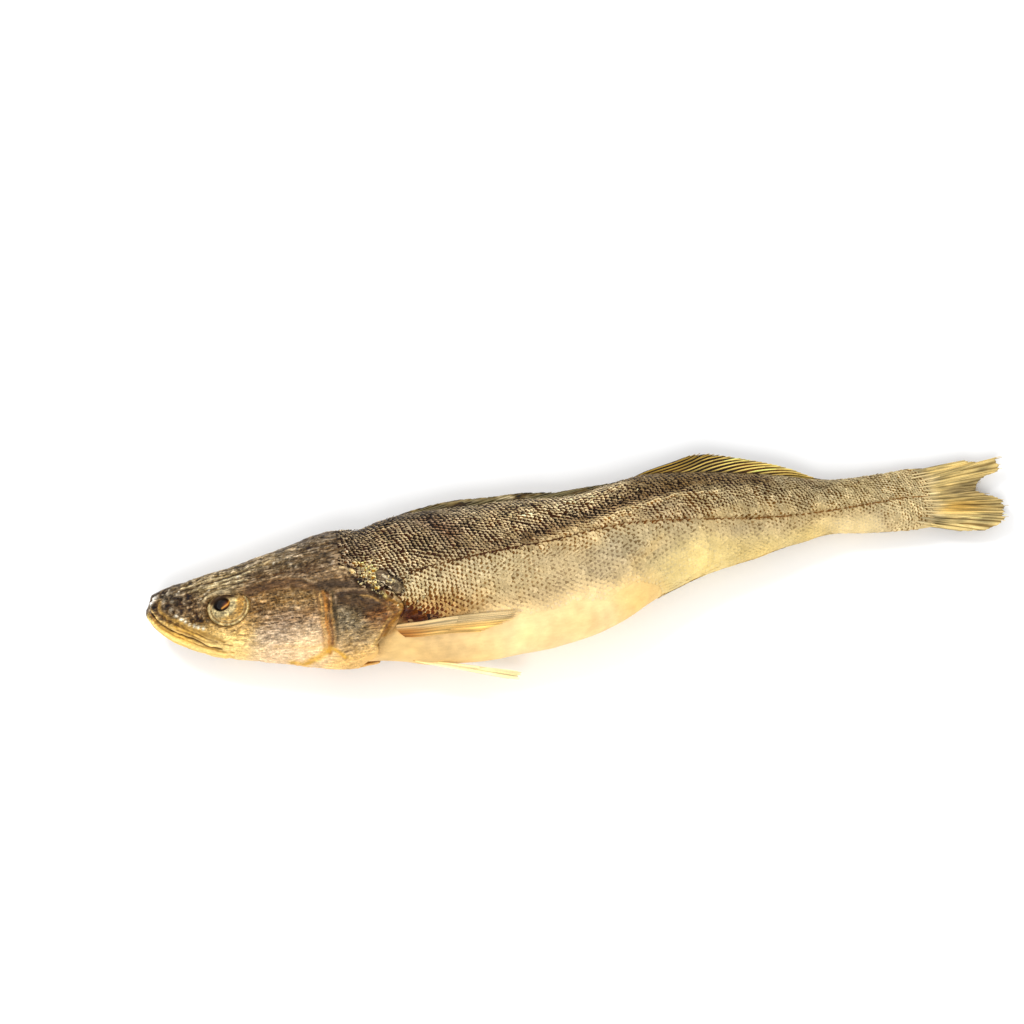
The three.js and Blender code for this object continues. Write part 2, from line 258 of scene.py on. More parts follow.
# %% Lines on the head
# name, width, rise, colour, cover, places
MARKS = [
    # the mouth
    ("upper lip", 0.95, 0.6, (152, 116, 54), 0.85,
     [(7.4, 2.4), (7.0, -0.8), (8.1, -3.3), (10.4, -6.1), (17.5, -10.8), (23.6, -14.7), (29.7, -18.8),
      (34.8, -21.8)]),
    ("lip groove", 0.42, -0.5, (84, 54, 18), 0.7,
     [(5.6, 0.4), (6.0, -3.0), (8.6, -6.4), (13.6, -10.2), (19.6, -14.2), (26.0, -18.2), (31.4, -21.4)]),
    ("inner band", 0.7, 0.35, (216, 178, 106), 0.7,
     [(3.0, -0.2), (5.0, -4.6), (7.6, -7.4), (11.4, -10.8), (16.7, -14.6), (22.8, -18.0), (28.9, -21.6)]),
    ("mouth slit", 0.5, -1.3, (70, 42, 12), 0.9,
     [(3.2, -2.8), (5.6, -7.0), (10.2, -11.4), (14.7, -14.0), (19.0, -16.6), (23.6, -19.5), (28.4, -22.6),
      (32.6, -24.2)]),
    ("slit above the maxilla", 0.36, -0.4, (104, 68, 26), 0.7,
     [(14.0, -12.2), (19.0, -15.2), (24.6, -18.8), (29.4, -21.0), (34.0, -22.8), (38.4, -24.0)]),
    ("lower lip", 1.5, 0.6, (248, 214, 128), 0.8,
     [(1.0, -2.6), (3.5, -6.9), (8.8, -12.4), (15.2, -17.0), (22.3, -21.0), (28.4, -24.2), (34.0, -26.0)]),
    ("lip line", 0.4, -0.3, (150, 100, 34), 0.65,
     [(1.6, -1.0), (3.4, -5.0), (7.6, -10.2), (13.6, -14.8), (20.4, -18.8), (27.6, -22.6), (33.0, -25.0),
      (38.0, -26.4)]),
    ("chin line", 0.4, -0.3, (196, 138, 56), 0.5,
     [(2.4, -8.4), (7.6, -14.6), (14.8, -19.6), (22.4, -23.6), (30.0, -26.6), (38.0, -28.2)]),
    ("snout seam", 0.55, -0.5, (62, 40, 18), 0.7, [(2.6, 4.4), (4.6, 2.0), (6.0, 0.4)]),
    ("snout glint ridge", 0.8, 0.5, (214, 206, 190), 0.7, [(3.0, 1.6), (4.3, 3.2), (5.8, 4.2)]),
    # eye surround
    ("brow", 0.7, 1.1, (206, 188, 148), 0.6,
     [(27.2, -3.0), (29.6, -1.0), (32.6, 0.1), (36.0, 0.4), (40.4, -0.2)]),
    ("brow rear", 0.8, 0.9, (116, 92, 58), 0.5, [(40.4, 0.2), (44.0, -1.2), (47.6, -3.6)]),
    # top of the head
    ("skull ridge low", 0.45, 0.5, (224, 206, 160), 0.75,
     [(21.6, 4.0), (27.0, 4.1), (33.0, 4.2), (41.4, 4.6), (49.0, 4.2)]),
    ("skull groove low", 0.5, -0.4, (56, 38, 14), 0.75, [(20.0, 3.0), (29.2, 2.9), (38.0, 3.3), (46.0, 3.1)]),
    ("skull ridge mid", 0.42, 0.45, (228, 210, 166), 0.8,
     [(33.6, 5.6), (38.5, 6.1), (44.5, 7.0), (50.5, 8.4)]),
    ("skull ridge high", 0.42, 0.4, (200, 180, 136), 0.7,
     [(18.0, 6.2), (21.6, 6.5), (28.2, 7.3), (36.0, 8.0), (44.0, 9.6)]),
    ("skull groove high", 0.5, -0.4, (54, 36, 14), 0.7,
     [(17.0, 5.2), (26.0, 5.8), (35.0, 6.6), (42.0, 7.9), (52.0, 10.2)]),
    ("skull thread", 0.36, 0.3, (206, 182, 132), 0.65, [(26.0, 3.0), (33.0, 3.4), (40.0, 2.6), (46.6, 1.8)]),
    ("skull thread rear", 0.36, 0.3, (196, 174, 128), 0.6,
     [(44.0, 9.0), (49.0, 10.4), (54.0, 11.0), (60.0, 12.6)]),
    ("skull groove mid", 0.4, -0.3, (62, 42, 18), 0.6, [(36.0, 4.8), (42.0, 5.4), (48.0, 5.8), (55.0, 7.0)]),
    ("skull groove rear", 0.7, -0.4, (78, 58, 36), 0.5,
     [(50.0, 6.4), (60.0, 8.4), (72.0, 10.0), (86.0, 12.0)]),
    # folds above the cheek
    ("fold", 0.36, 0.4, (204, 178, 142), 0.65,
     [(50.8, 2.2), (58.9, 2.6), (65.6, 2.1), (72.7, 0.3), (77.3, -2.2), (79.6, -2.7)]),
    ("fold above", 0.36, 0.35, (186, 160, 130), 0.65, [(66.0, 3.2), (72.9, 1.6), (78.3, -0.3), (81.6, -1.9)]),
    ("fold shade", 2.2, -0.3, (84, 56, 34), 0.5,
     [(48.0, -2.2), (54.0, -1.9), (60.0, -1.4), (66.0, -1.8), (72.0, -3.2), (78.0, -5.2)]),
    ("fold gap", 0.5, -0.4, (62, 40, 20), 0.6,
     [(48.0, -0.6), (54.0, -0.3), (60.0, 0.2), (66.0, -0.1), (72.0, -1.5), (78.0, -3.8), (82.0, -5.4)]),
    ("fold gap low", 0.5, -0.3, (84, 56, 28), 0.45, [(52.0, -3.0), (60.0, -2.4), (68.0, -3.2), (75.0, -5.0)]),
    ("dark top of the cheek bone", 2.0, -0.7, (62, 46, 30), 0.7,
     [(81.0, -4.4), (87.7, -5.5), (93.0, -6.6), (97.4, -8.6)]),
    ("brow of the gill cover", 0.6, 0.6, (178, 144, 104), 0.7,
     [(86.0, -9.9), (90.0, -8.9), (94.0, -8.8), (99.4, -9.9), (103.2, -10.4)]),
    ("gap under that brow", 0.7, -0.6, (58, 38, 22), 0.6,
     [(88.0, -11.2), (94.0, -10.5), (100.0, -11.6), (106.0, -13.2)]),
    ("small hook", 0.5, 0.5, (228, 196, 162), 0.8,
     [(83.2, -10.5), (84.0, -12.0), (85.4, -12.5), (87.2, -11.8)]),
    ("small hook tail", 0.4, 0.4, (206, 178, 146), 0.7, [(87.6, -12.0), (87.4, -14.0), (86.6, -15.6)]),
    ("pale thread", 0.5, 0.5, (216, 190, 140), 0.8,
     [(91.0, 2.5), (93.6, 1.2), (96.0, -0.8), (98.0, -3.2), (99.1, -5.6)]),
    ("pale thread rear", 0.45, 0.4, (190, 160, 118), 0.6,
     [(84.0, 3.4), (88.0, 1.6), (92.0, -0.6), (95.0, -3.0)]),
    # the cheek bone's rear edge
    ("cheek bone front line", 0.42, 0.4, (212, 168, 104), 0.6, [(78.0, -6.4), (77.6, -9.0), (78.2, -11.9)]),
    ("cheek bone front gap", 0.45, -0.4, (134, 92, 48), 0.6,
     [(79.4, -7.5), (79.2, -16.0), (79.4, -24.0), (79.0, -31.0)]),
    ("cheek bone pale strand", 0.55, 0.5, (206, 160, 92), 0.75,
     [(80.4, -8.6), (80.4, -16.0), (80.4, -24.0), (80.2, -31.0), (77.4, -33.2), (71.6, -34.6)]),
    ("cheek bone orange strand", 0.75, 0.9, (176, 114, 44), 0.9,
     [(82.0, -8.4), (82.4, -13.2), (82.2, -19.0), (82.2, -25.8), (81.8, -30.6), (81.6, -33.6)]),
    ("cheek bone seam", 0.42, -0.7, (96, 52, 12), 0.8,
     [(83.6, -9.6), (83.8, -16.0), (83.8, -24.0), (83.2, -31.4)]),
    ("cheek bone rear strand", 0.5, 0.5, (166, 118, 56), 0.7,
     [(84.8, -11.2), (84.9, -18.2), (84.8, -25.6), (84.4, -31.2), (86.2, -34.0), (88.0, -36.4)]),
    ("cheek bone rear gap", 0.7, -0.8, (62, 48, 26), 0.65,
     [(86.0, -9.0), (86.4, -16.0), (86.3, -24.0), (85.8, -30.0)]),
    ("foot forward", 1.6, 0.4, (206, 152, 50), 0.65,
     [(80.6, -32.9), (76.5, -34.4), (70.1, -35.2), (64.0, -35.0)]),
    ("foot rearward", 0.9, 0.4, (214, 162, 62), 0.7, [(82.3, -32.0), (85.0, -33.6), (88.2, -36.0)]),
    ("cheek gold line", 0.7, 0.2, (226, 180, 112), 0.35,
     [(58.0, -27.6), (66.0, -29.0), (74.0, -30.8), (79.0, -30.4)]),
    # the gill cover's rim
    ("gill rim", 0.7, 0.3, (126, 82, 14), 0.85,
     [(107.0, -13.4), (110.6, -16.2), (114.4, -18.6), (116.6, -21.3), (112.6, -24.2), (109.4, -27.5),
      (106.4, -30.7), (103.2, -33.2)]),
    ("gill rim line", 0.45, -0.4, (104, 62, 20), 0.7,
     [(112.0, -19.0), (114.2, -21.6), (110.9, -24.4), (107.4, -28.0), (104.0, -31.2)]),
    ("gill inner line", 0.5, 0.4, (206, 164, 92), 0.65,
     [(109.6, -19.8), (111.6, -22.0), (108.0, -26.0), (104.2, -30.2), (100.6, -33.2)]),
    ("gill low rim", 0.8, 0.2, (240, 192, 112), 0.5,
     [(103.4, -34.4), (101.8, -36.0), (98.6, -37.6), (95.0, -38.3)]),
    ("gill fleck", 0.5, -0.3, (96, 72, 44), 0.6, [(92.6, -33.0), (95.0, -31.4), (98.0, -30.6)]),
    ("gill fleck low", 0.45, -0.3, (108, 82, 52), 0.5, [(88.4, -34.4), (91.0, -34.0), (93.0, -34.8)]),
    ("gill top dark", 2.6, -0.3, (70, 48, 24), 0.7,
     [(90.0, -13.2), (96.0, -15.4), (102.0, -17.6), (107.0, -17.0)]),
    ("gill top gold", 0.5, 0.3, (166, 126, 66), 0.6,
     [(99.0, -13.0), (103.4, -14.6), (108.0, -17.4), (111.6, -20.0)]),
    # behind the gill cover
    ("dark hole", 1.6, -1.2, (36, 20, 8), 0.9, [(98.6, -5.6), (101.4, -8.0), (104.6, -10.8), (107.6, -13.4)]),
]
print(len(MARKS), "marks on the head")

# %% Lines, stains and painted shade on the trunk
# the same for what lies behind the gill cover, mostly wide and soft
BANDS = [
    ("grey lump", 2.3, 1.8, (84, 68, 50), 0.65, [(108.6, -4.6), (112.2, -7.8), (115.0, -11.4)]),
    ("crease of the lump", 0.35, -0.4, (62, 46, 26), 0.85, [(109.2, -7.4), (112.0, -8.4), (114.8, -11.4)]),
    ("pale flecks of the lump", 0.4, 0.2, (216, 202, 168), 0.8,
     [(110.2, -5.4), (112.4, -7.0), (114.6, -8.6)]),
    # painted shadow cast round the raised lump
    ("painted shadow round the lump", 0.6, -0.4, (70, 52, 30), 0.6,
     [(110.4, -11.6), (114.4, -14.4), (117.6, -13.4), (117.8, -9.8), (115.0, -5.8)]),
    ("cavity", 3.3, -2.8, (70, 24, 0), 1.0, [(112.0, -19.8), (116.6, -22.8), (121.0, -25.0), (124.0, -26.4)]),
    ("cavity tail", 1.6, -1.0, (84, 36, 8), 0.95, [(121.0, -24.0), (126.0, -25.6), (131.0, -26.6)]),
    ("cavity lower lip", 0.8, 0.4, (226, 168, 92), 0.6, [(108.2, -31.0), (111.8, -28.8), (114.6, -31.2)]),
    ("stain behind the cavity", 3.6, 0.0, (174, 126, 62), 0.45,
     [(119.0, -18.6), (124.0, -21.4), (131.0, -23.8), (142.0, -25.0)]),
    # painted shade in the long hollow under the back, in three pieces from front to rear
    ("painted shade in the hollow front", 2.8, 0.0, (104, 76, 42), 0.5,
     [(143.0, 5.4), (150.0, 3.4), (160.0, 2.4), (170.0, 3.0), (180.0, 5.0)]),
    ("painted shade in the hollow", 3.4, -0.4, (92, 62, 28), 0.78,
     [(176.0, 5.0), (191.5, 8.9), (206.5, 13.0), (221.2, 17.8), (236.0, 20.8), (250.0, 23.6)]),
    ("painted shade in the hollow rear", 3.8, 0.0, (92, 64, 26), 0.78,
     [(246.0, 24.6), (258.0, 25.6), (272.0, 25.0), (290.0, 22.6)]),
    ("pale ridge above it", 3.2, 0.3, (204, 180, 138), 0.7,
     [(176.0, 16.0), (188.0, 18.4), (200.0, 21.4), (212.0, 24.6), (224.0, 27.6)]),
    ("pale flank below it", 2.6, 0.0, (186, 158, 112), 0.7,
     [(186.0, 0.4), (198.0, 4.0), (212.0, 8.6), (226.0, 11.6)]),
    ("pale streak below it", 1.3, 0.2, (214, 188, 140), 0.7,
     [(214.0, 10.0), (222.0, 12.4), (236.0, 15.8), (250.0, 18.2), (266.0, 18.0)]),
    ("red blotch", 4.6, -0.4, (92, 54, 26), 0.8, [(132.0, 21.8), (137.8, 16.4), (142.4, 11.6)]),
    ("dark shoulder", 4.0, 0.0, (92, 70, 40), 0.35, [(112.0, 15.0), (122.0, 9.0), (132.0, 6.0)]),
    ("dark ridge", 3.0, 0.0, (66, 46, 20), 0.65, [(96.0, 21.0), (110.0, 23.0), (122.0, 25.0), (136.0, 25.6)]),
    ("lateral line front", 0.9, -0.1, (132, 104, 62), 0.3,
     [(118.0, -8.4), (124.0, -5.6), (132.0, -3.4), (140.3, -2.4), (154.1, -1.1)]),
    ("lateral line", 0.7, -0.12, (122, 90, 46), 0.5,
     [(154.1, -1.1), (172.4, 0.4), (190.9, 1.9), (209.8, 4.7), (228.3, 5.8), (247, 5.2), (266, 4.4),
      (294, 3.6), (323, 5.0), (342, 6.6), (356, 8.4)]),
    ("orange stain at the vent", 3.0, 0.0, (244, 206, 132), 0.35,
     [(224.0, -12.0), (230.0, -8.0), (236.0, -3.0)]),
]
print(len(BANDS), "bands on the trunk")

# %% Small round bumps
# name, radius, rise, colour, places
DOTS = [
    # bumps along the lip, each with a painted glint
    ("lip bump with a painted glint", 0.8, 0.6, (226, 218, 196),
     [(14.7, -6.7), (16.7, -8.6), (18.2, -10.0), (20.3, -11.4), (22.6, -12.5), (24.4, -13.5),
      (26.4, -14.6)]),
    ("snout glint", 1.0, 0.5, (222, 218, 210), [(3.4, 2.6), (4.8, 4.0)]),
    ("nostril", 0.9, -1.0, (30, 18, 8), [(21.6, -2.1), (17.0, 1.0)]),
    ("snout bump", 1.1, 0.5, (150, 138, 118),
     [(9.6, 1.6), (11.2, 4.6), (13.4, 0.6), (15.8, 3.6), (12.6, -3.0)]),
    ("snout pit", 1.0, -0.6, (34, 24, 12), [(8.4, 4.4), (10.0, -1.8), (13.2, 3.0), (15.2, -0.8), (9.8, 6.2)]),
    ("yellow tuft", 0.9, 0.5, (236, 214, 128),
     [(98.6, 2.6), (100.6, 0.6), (102.4, -1.0), (101.4, 2.2), (103.6, -3.2), (104.8, -5.6), (105.2, -8.0),
      (106.4, -10.4), (102.0, -3.6), (107.4, -12.6), (109.4, -14.6), (104.4, 0.0), (106.0, -2.4)]),
    ("white glint", 0.45, 0.3, (240, 232, 212),
     [(27.0, -1.0), (28.6, 0.8), (30.6, 2.2), (44.0, 6.6), (61.0, 10.4), (8.6, 5.6), (5.2, 4.6),
      (12.0, 7.0), (16.6, 5.0)]),
]
print(len(DOTS), "kinds of bump at", sum(len(dot[-1]) for dot in DOTS), "places")

# %% Places where no scale grows
# a line through each, and how far from it the scales stay away
BARE_PLACES = [
    ([(110, -18), (114, -22), (120, -25), (126, -26.5)], 2.4),
    ([(108.6, -4.6), (112.2, -7.8), (115.0, -11.4)], 2.6),
]
print(len(BARE_PLACES), "bare places")

# %% How near a point is to a line
def near_line(points, line):
    """How far each point is from a line through places, in mm."""
    nearest = np.full(len(points), np.inf)
    for start, end in zip(line[:-1], line[1:]):
        step = end - start
        share = np.clip((points - start) @ step / (step @ step), 0, 1)
        gap = points - start - share[:, None] * step
        nearest = np.minimum(nearest, (gap * gap).sum(-1))
    return np.sqrt(nearest)


def smooth_line(places, count):
    """More places along a line, so that it bends instead of turning corners."""
    places = np.array(places, float)
    steps = np.r_[0, np.cumsum(np.linalg.norm(np.diff(places, axis=0), axis=1))]
    wanted = np.linspace(0, steps[-1], count)
    return np.stack([curve_through(np.c_[steps, places[:, k]])(wanted) for k in range(places.shape[1])], -1)


def strength_of(folded, mark):
    """Which vertices a mark reaches, and how strongly."""
    width = mark[1]
    places = smooth_line(mark[5], 26)
    path = on_flank(places)
    path[:, 2] = np.abs(path[:, 2] - middle(path[:, 0]))
    low, high = path.min(0) - 3 * width - 2, path.max(0) + 3 * width + 2
    reached = np.nonzero(((folded > low) & (folded < high)).all(-1))[0]
    return reached, bell(near_line(folded[reached], path) / width)


print("the", MARKS[0][0], "runs through", smooth_line(MARKS[0][-1], 3).round(1).tolist())

# %% [markdown]
# ## Colours of the dried fish
# Colour is named by place. Each patch says where it sits, how far it reaches and its colour as the
# eye sees it, from 0 to 255, and last how strongly the scales or speckles stand out in it. A point
# takes the mean of the patches, the near ones weighing most. It is how a painter blocks in a fish
# before the details: dark back, tan flank, butter-yellow belly, and a grey and gold head.

# %% Patches of colour
# name, distance from the snout, height, reach along, reach up, colour, contrast
PATCHES = [
    ("snout", 12, 3, 9, 6, (74, 56, 32), 62),
    ("snout side", 20, -4, 9, 5, (88, 66, 38), 60),
    ("head top front", 32, 7, 14, 5, (130, 110, 74), 54),
    ("head top middle", 58, 13, 14, 7, (122, 104, 76), 72),
    ("head top rear", 84, 18, 14, 8, (94, 76, 52), 76),
    ("temple", 62, 4, 12, 3, (84, 58, 28), 46),
    ("behind the eye", 56, -8, 7, 6, (114, 84, 44), 54),
    ("below the eye", 42, -18, 8, 3, (178, 142, 86), 40),
    ("cheek upper", 66, -9, 9, 5, (126, 98, 58), 50),
    ("cheek middle", 66, -18, 11, 5, (130, 102, 72), 46),
    ("cheek low", 62, -25, 14, 4, (200, 172, 136), 32),
    ("throat", 62, -33, 22, 5, (228, 192, 146), 18),
    ("maxilla", 36, -22, 7, 3, (238, 202, 126), 26),
    ("lower jaw", 28, -27, 12, 5, (240, 200, 112), 11),
    ("jaw front", 8, -14, 8, 5, (234, 184, 84), 12),
    ("gill cover top", 94, -6, 8, 4, (78, 56, 30), 58),
    ("gill cover dark", 96, -14, 8, 4, (70, 52, 28), 54),
    ("gill cover middle", 92, -22, 7, 6, (104, 88, 60), 54),
    ("gill cover rear", 107, -22, 5, 7, (84, 48, 16), 50),
    ("gill cover low", 94, -31, 8, 4, (150, 122, 78), 42),
    ("gill cover foot", 92, -38, 10, 4, (224, 178, 106), 18),
    ("nape", 96, 8, 9, 8, (108, 86, 60), 60),
    ("nape yellow", 104, -4, 4.4, 5.5, (180, 160, 118), 60),
    ("grey lump", 111.5, -8, 4.4, 3.6, (86, 68, 50), 96),
    ("shoulder", 118, 4, 10, 8, (172, 146, 102), 68),
    ("shoulder low", 122, -12, 8, 5, (178, 160, 122), 48),
    ("throat behind the gill", 112, -36, 9, 8, (228, 190, 124), 3),
    ("back front", 130, 18, 16, 8, (134, 108, 74), 66),
    ("back middle", 165, 18, 20, 9, (152, 126, 86), 70),
    ("back rear", 200, 20, 14, 7, (176, 150, 108), 76),
    ("flank above the line", 148, 2, 16, 5, (152, 128, 90), 56),
    ("flank front", 140, -10, 14, 6, (186, 164, 126), 44),
    ("pale patch", 158, -7, 10, 5, (210, 190, 146), 30),
    ("brown patch", 132, -23, 14, 4, (160, 120, 64), 46),
    ("flank middle", 170, -16, 16, 7, (204, 178, 128), 29),
    ("flank middle rear", 200, -12, 18, 9, (222, 196, 144), 19),
    ("flank upper rear", 196, 3, 16, 5, (204, 174, 124), 44),
    ("belly front", 130, -40, 14, 9, (216, 177, 114), 8),
    ("belly middle", 160, -36, 22, 9, (246, 210, 148), 6),
    ("belly rear", 196, -32, 16, 8, (249, 212, 150), 6),
    ("vent", 222, -24, 8, 8, (246, 203, 128), 6),
    ("behind the vent", 246, -14, 14, 8, (243, 212, 138), 9),
    ("flank rear", 228, -4, 16, 8, (194, 176, 136), 24),
    ("flank rear upper", 232, 12, 16, 6, (158, 132, 94), 52),
    ("under the soft fin", 262, 18, 16, 5, (160, 138, 98), 52),
    ("root of the soft fin", 256, 28, 20, 5, (98, 72, 36), 52),
    ("tail stalk upper", 300, 18, 16, 6, (156, 134, 94), 50),
    ("tail stalk line", 290, 5, 18, 4, (172, 146, 98), 42),
    ("tail stalk middle", 286, 0, 16, 6, (214, 190, 140), 20),
    ("tail stalk low", 296, -8, 22, 5, (234, 203, 128), 12),
    ("tail root upper", 334, 17, 14, 6, (168, 148, 106), 48),
    ("tail root middle", 336, 8, 14, 4, (194, 172, 126), 40),
    ("tail root low", 334, -3, 14, 5, (228, 202, 148), 11),
    ("tail root end", 352, 10, 7, 12, (198, 176, 130), 46),
]
PATCH_PLACES = np.array([row[1:3] for row in PATCHES], float)
PATCH_REACH = np.array([row[3:5] for row in PATCHES], float)
PATCH_COLOURS = np.array([row[5] for row in PATCHES], float)
PATCH_CONTRAST = np.array([row[6] for row in PATCHES], float)
print(len(PATCHES), "patches of colour")

# %% The colour of any place
def patch_colour(along, across):
    """The colour, 0 to 255, and the contrast at places on the fish."""
    place = np.stack([along, across], -1)[:, None, :]
    gap = (((place - PATCH_PLACES) / PATCH_REACH) ** 2).sum(-1)
    weight = np.exp(-0.9 * gap) + 0.02 / (1 + gap) ** 2
    weight /= weight.sum(-1, keepdims=True)
    return weight @ PATCH_COLOURS, weight @ PATCH_CONTRAST


def blotched(points):
    """Patch colours with the cloudy unevenness of dried skin: colour and contrast."""
    sway = np.stack([cloud(points, 9, 31), cloud(points, 7, 41)], -1)
    colour, contrast = patch_colour(points[:, 0] + 3.0 * sway[:, 0], points[:, 1] + 1.6 * sway[:, 1])
    light = 1 + 0.075 * cloud(points, 12, 51, 3) + (0.04 + 0.0018 * contrast) * cloud(points, 3.2, 61, 2)
    warm = 5.0 * cloud(points, 15, 71, 2)
    colour = colour * light[:, None] + warm[:, None] * np.array([0.7, 0.1, -1.0])
    return colour, contrast


def linear(colour):
    """Colour as the eye sees it, 0 to 255, to the light that a shader works in."""
    share = np.clip(np.asarray(colour, float) / 255, 0, 1)
    return np.where(share <= 0.04045, share / 12.92, ((share + 0.055) / 1.055) ** 2.4)


belly_colour = patch_colour(np.array([150.0]), np.array([-38.0]))[0][0]
print("the belly at 150 mm is coloured", belly_colour.round().tolist())

# %% [markdown]
# ## A helper for meshes
# Every piece is built from arrays: points in the fish's millimetres, faces as rows of point
# numbers, and named values on the points, such as a colour, for its material to read.

# %% Make a mesh from arrays
def add_object(name, mesh):
    thing = bpy.data.objects.new(name, mesh)
    bpy.context.scene.collection.objects.link(thing)
    return thing


def store(mesh, name, values):
    values = np.asarray(values, float)
    if values.ndim == 1:
        mesh.attributes.new(name, "FLOAT", "POINT").data.foreach_set("value", values)
    elif name.endswith("_colour"):
        with_alpha = np.c_[values, np.ones(len(values))]
        mesh.attributes.new(name, "FLOAT_COLOR", "POINT").data.foreach_set("color", with_alpha.ravel())
    else:
        mesh.attributes.new(name, "FLOAT_VECTOR", "POINT").data.foreach_set("vector", values.ravel())


def build_mesh(name, points, faces, values=None, in_frame=False):
    mesh = bpy.data.meshes.new(name)
    placed = np.asarray(points, float) if in_frame else to_frame(points)
    mesh.from_pydata(placed.tolist(), [], [list(face) for face in faces])
    for key, value in (values or {}).items():
        store(mesh, key, value)
    mesh.shade_smooth()
    mesh.validate()
    return mesh


def grid_faces(rows, columns, closed=False, first=0):
    """Faces of a grid. From the side they face, rows run to the right and columns upwards."""
    steps = columns if closed else columns - 1
    row, column = np.meshgrid(np.arange(rows - 1), np.arange(steps), indexing="ij")
    here = first + row * columns + column
    beside = first + row * columns + (column + 1) % columns
    return np.stack([here, here + columns, beside + columns, beside], -1).reshape(-1, 4)


# %% [markdown]
# ## The skin
# The skin is one closed net of rings from the snout to the tail, about half a millimetre apart on
# the head, where the detail is. It could be sculpted, but rings computed from the stations keep to
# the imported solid. At the gill cover's edge the rings turn back under themselves, so the cover is
# a real flap with a gap behind it, and its strength fades out towards the top of the head.

# %% Rings of the skin
HEAD_RINGS = 205
TRUNK_RINGS = 224
LEFT_COLUMNS = 128
RIGHT_COLUMNS = 80
# how the rings run round the flap's rim and back out: distance from the rim, and lift
FLAP = [
    (0.0, 1.7), (0.42, 1.5), (0.6, 1.1), (0.42, 0.7), (-0.6, 0.5), (-2.6, 0.35), (-4.4, 0.1),
    (-4.8, -0.5), (-3.8, -1.0), (-1.6, -1.2), (0.4, -1.15), (2.2, -0.8),
]
FLAP_CLOSED_STEP = 0.27
TRUNK_START = 4.4


def column_angles():
    left = -90 + 180 * np.arange(LEFT_COLUMNS) / LEFT_COLUMNS
    right = 90 - 180 * np.arange(RIGHT_COLUMNS) / RIGHT_COLUMNS
    return np.r_[left, right], np.r_[np.ones(LEFT_COLUMNS), -np.ones(RIGHT_COLUMNS)]


def skin_rings():
    """For each ring: distance from the snout before it bends, step off the rim, and lift."""
    head = GILL_ROOT * ((np.arange(HEAD_RINGS) + 1) / (HEAD_RINGS + 1)) ** 1.15
    trunk = np.linspace(GILL_ROOT + TRUNK_START, BODY_LENGTH, TRUNK_RINGS)
    rings = [(base, None) for base in head]
    rings += [(GILL_ROOT, step) for step in range(len(FLAP))]
    return rings + [(base, None) for base in trunk]


def skin_net():
    angle, side = column_angles()
    bend = gill_edge(angle) - GILL_ROOT
    opened = gill_open(angle)
    rows = []
    for base, step in skin_rings():
        along = base + bend * bell((base - GILL_ROOT) / GILL_REACH)
        if step is None:
            rows.append(skin(along, angle, side))
            continue
        shift, lift = FLAP[step]
        along = along + mix(FLAP_CLOSED_STEP * step, shift, opened)
        plain = smooth_skin(along, angle, side, lift * opened - hollow(along, angle))
        rows.append(plain)
    return np.array(rows)


net = skin_net()
print("skin net:", net.shape[0], "rings of", net.shape[1], "points")

# %% [markdown]
# ## Relief
# Folds, lips and wrinkles are raised from the net along its own normals. Long features come from
# the list of marks. The fine ones come from the clouds: thin creases on the forehead, soft folds
# that run along the cheek, and pits on the gill cover. What a point stands out also sets how
# bright it is painted: painted highlight on the crests and painted shade in the bottoms of creases.

# %% Normals of a net
def net_normals(net):
    ahead = np.gradient(net, axis=0)
    around = np.roll(net, -1, axis=1) - np.roll(net, 1, axis=1)
    normal = np.cross(ahead, around)
    length = np.linalg.norm(normal, axis=-1, keepdims=True)
    return normal / np.maximum(length, 1e-9)


def fold_up(points):
    """The same point on the left flank, measured from the middle plane."""
    folded = points.copy()
    folded[:, 2] = np.abs(points[:, 2] - middle(points[:, 0]))
    return folded


def bareness(points):
    """1 where no scale grows, 0 where they do, with a soft border."""
    bare = np.zeros(len(points))
    for places, reach in BARE_PLACES:
        gap = near_line(fold_up(points), fold_up(on_flank(places)))
        bare = np.maximum(bare, 1 - ease(reach - 0.5, reach + 0.5, gap))
    return bare


# %% Where the eye and the mouth lie
EYE_PLACE = (38.5, -7.4)
EYE_REACH = 10.4
EYE_TALL = 0.89
mouth_line = curve_through([(0, -2), (4, -6), (9, -11), (15, -15), (24, -20), (33, -24.4), (45, -31)])
brow_line = curve_through([
    (26, -7), (28.5, -3.4), (32, -1.7), (37, -1.2), (42, -1.7), (46.5, -3.8), (50, -8),
])


def eye_gap(along, across):
    return np.hypot(along - EYE_PLACE[0], (across - EYE_PLACE[1]) / EYE_TALL)


print("the eye is", 2 * EYE_REACH, "mm long and", round(2 * EYE_REACH * EYE_TALL, 1), "mm tall")

# %% Relief round the eye and wrinkles of the head
def eye_relief(along, across, gap, under_brow):
    """A sunken bowl with a soft rim, and arcs of thin skin behind the eye, in mm."""
    bowl = 1 - ease(EYE_REACH - 1.4, EYE_REACH + 0.1, gap)
    rim = bell((gap - EYE_REACH - 0.8) / 0.8)
    arcs = bell((along - 53.5) / 3.2) * bell((across + 8) / 7)
    socket = -3.4 * bowl * under_brow + 0.55 * rim * under_brow
    return socket + 0.22 * arcs * np.sin((gap - EYE_REACH) * 4.2)


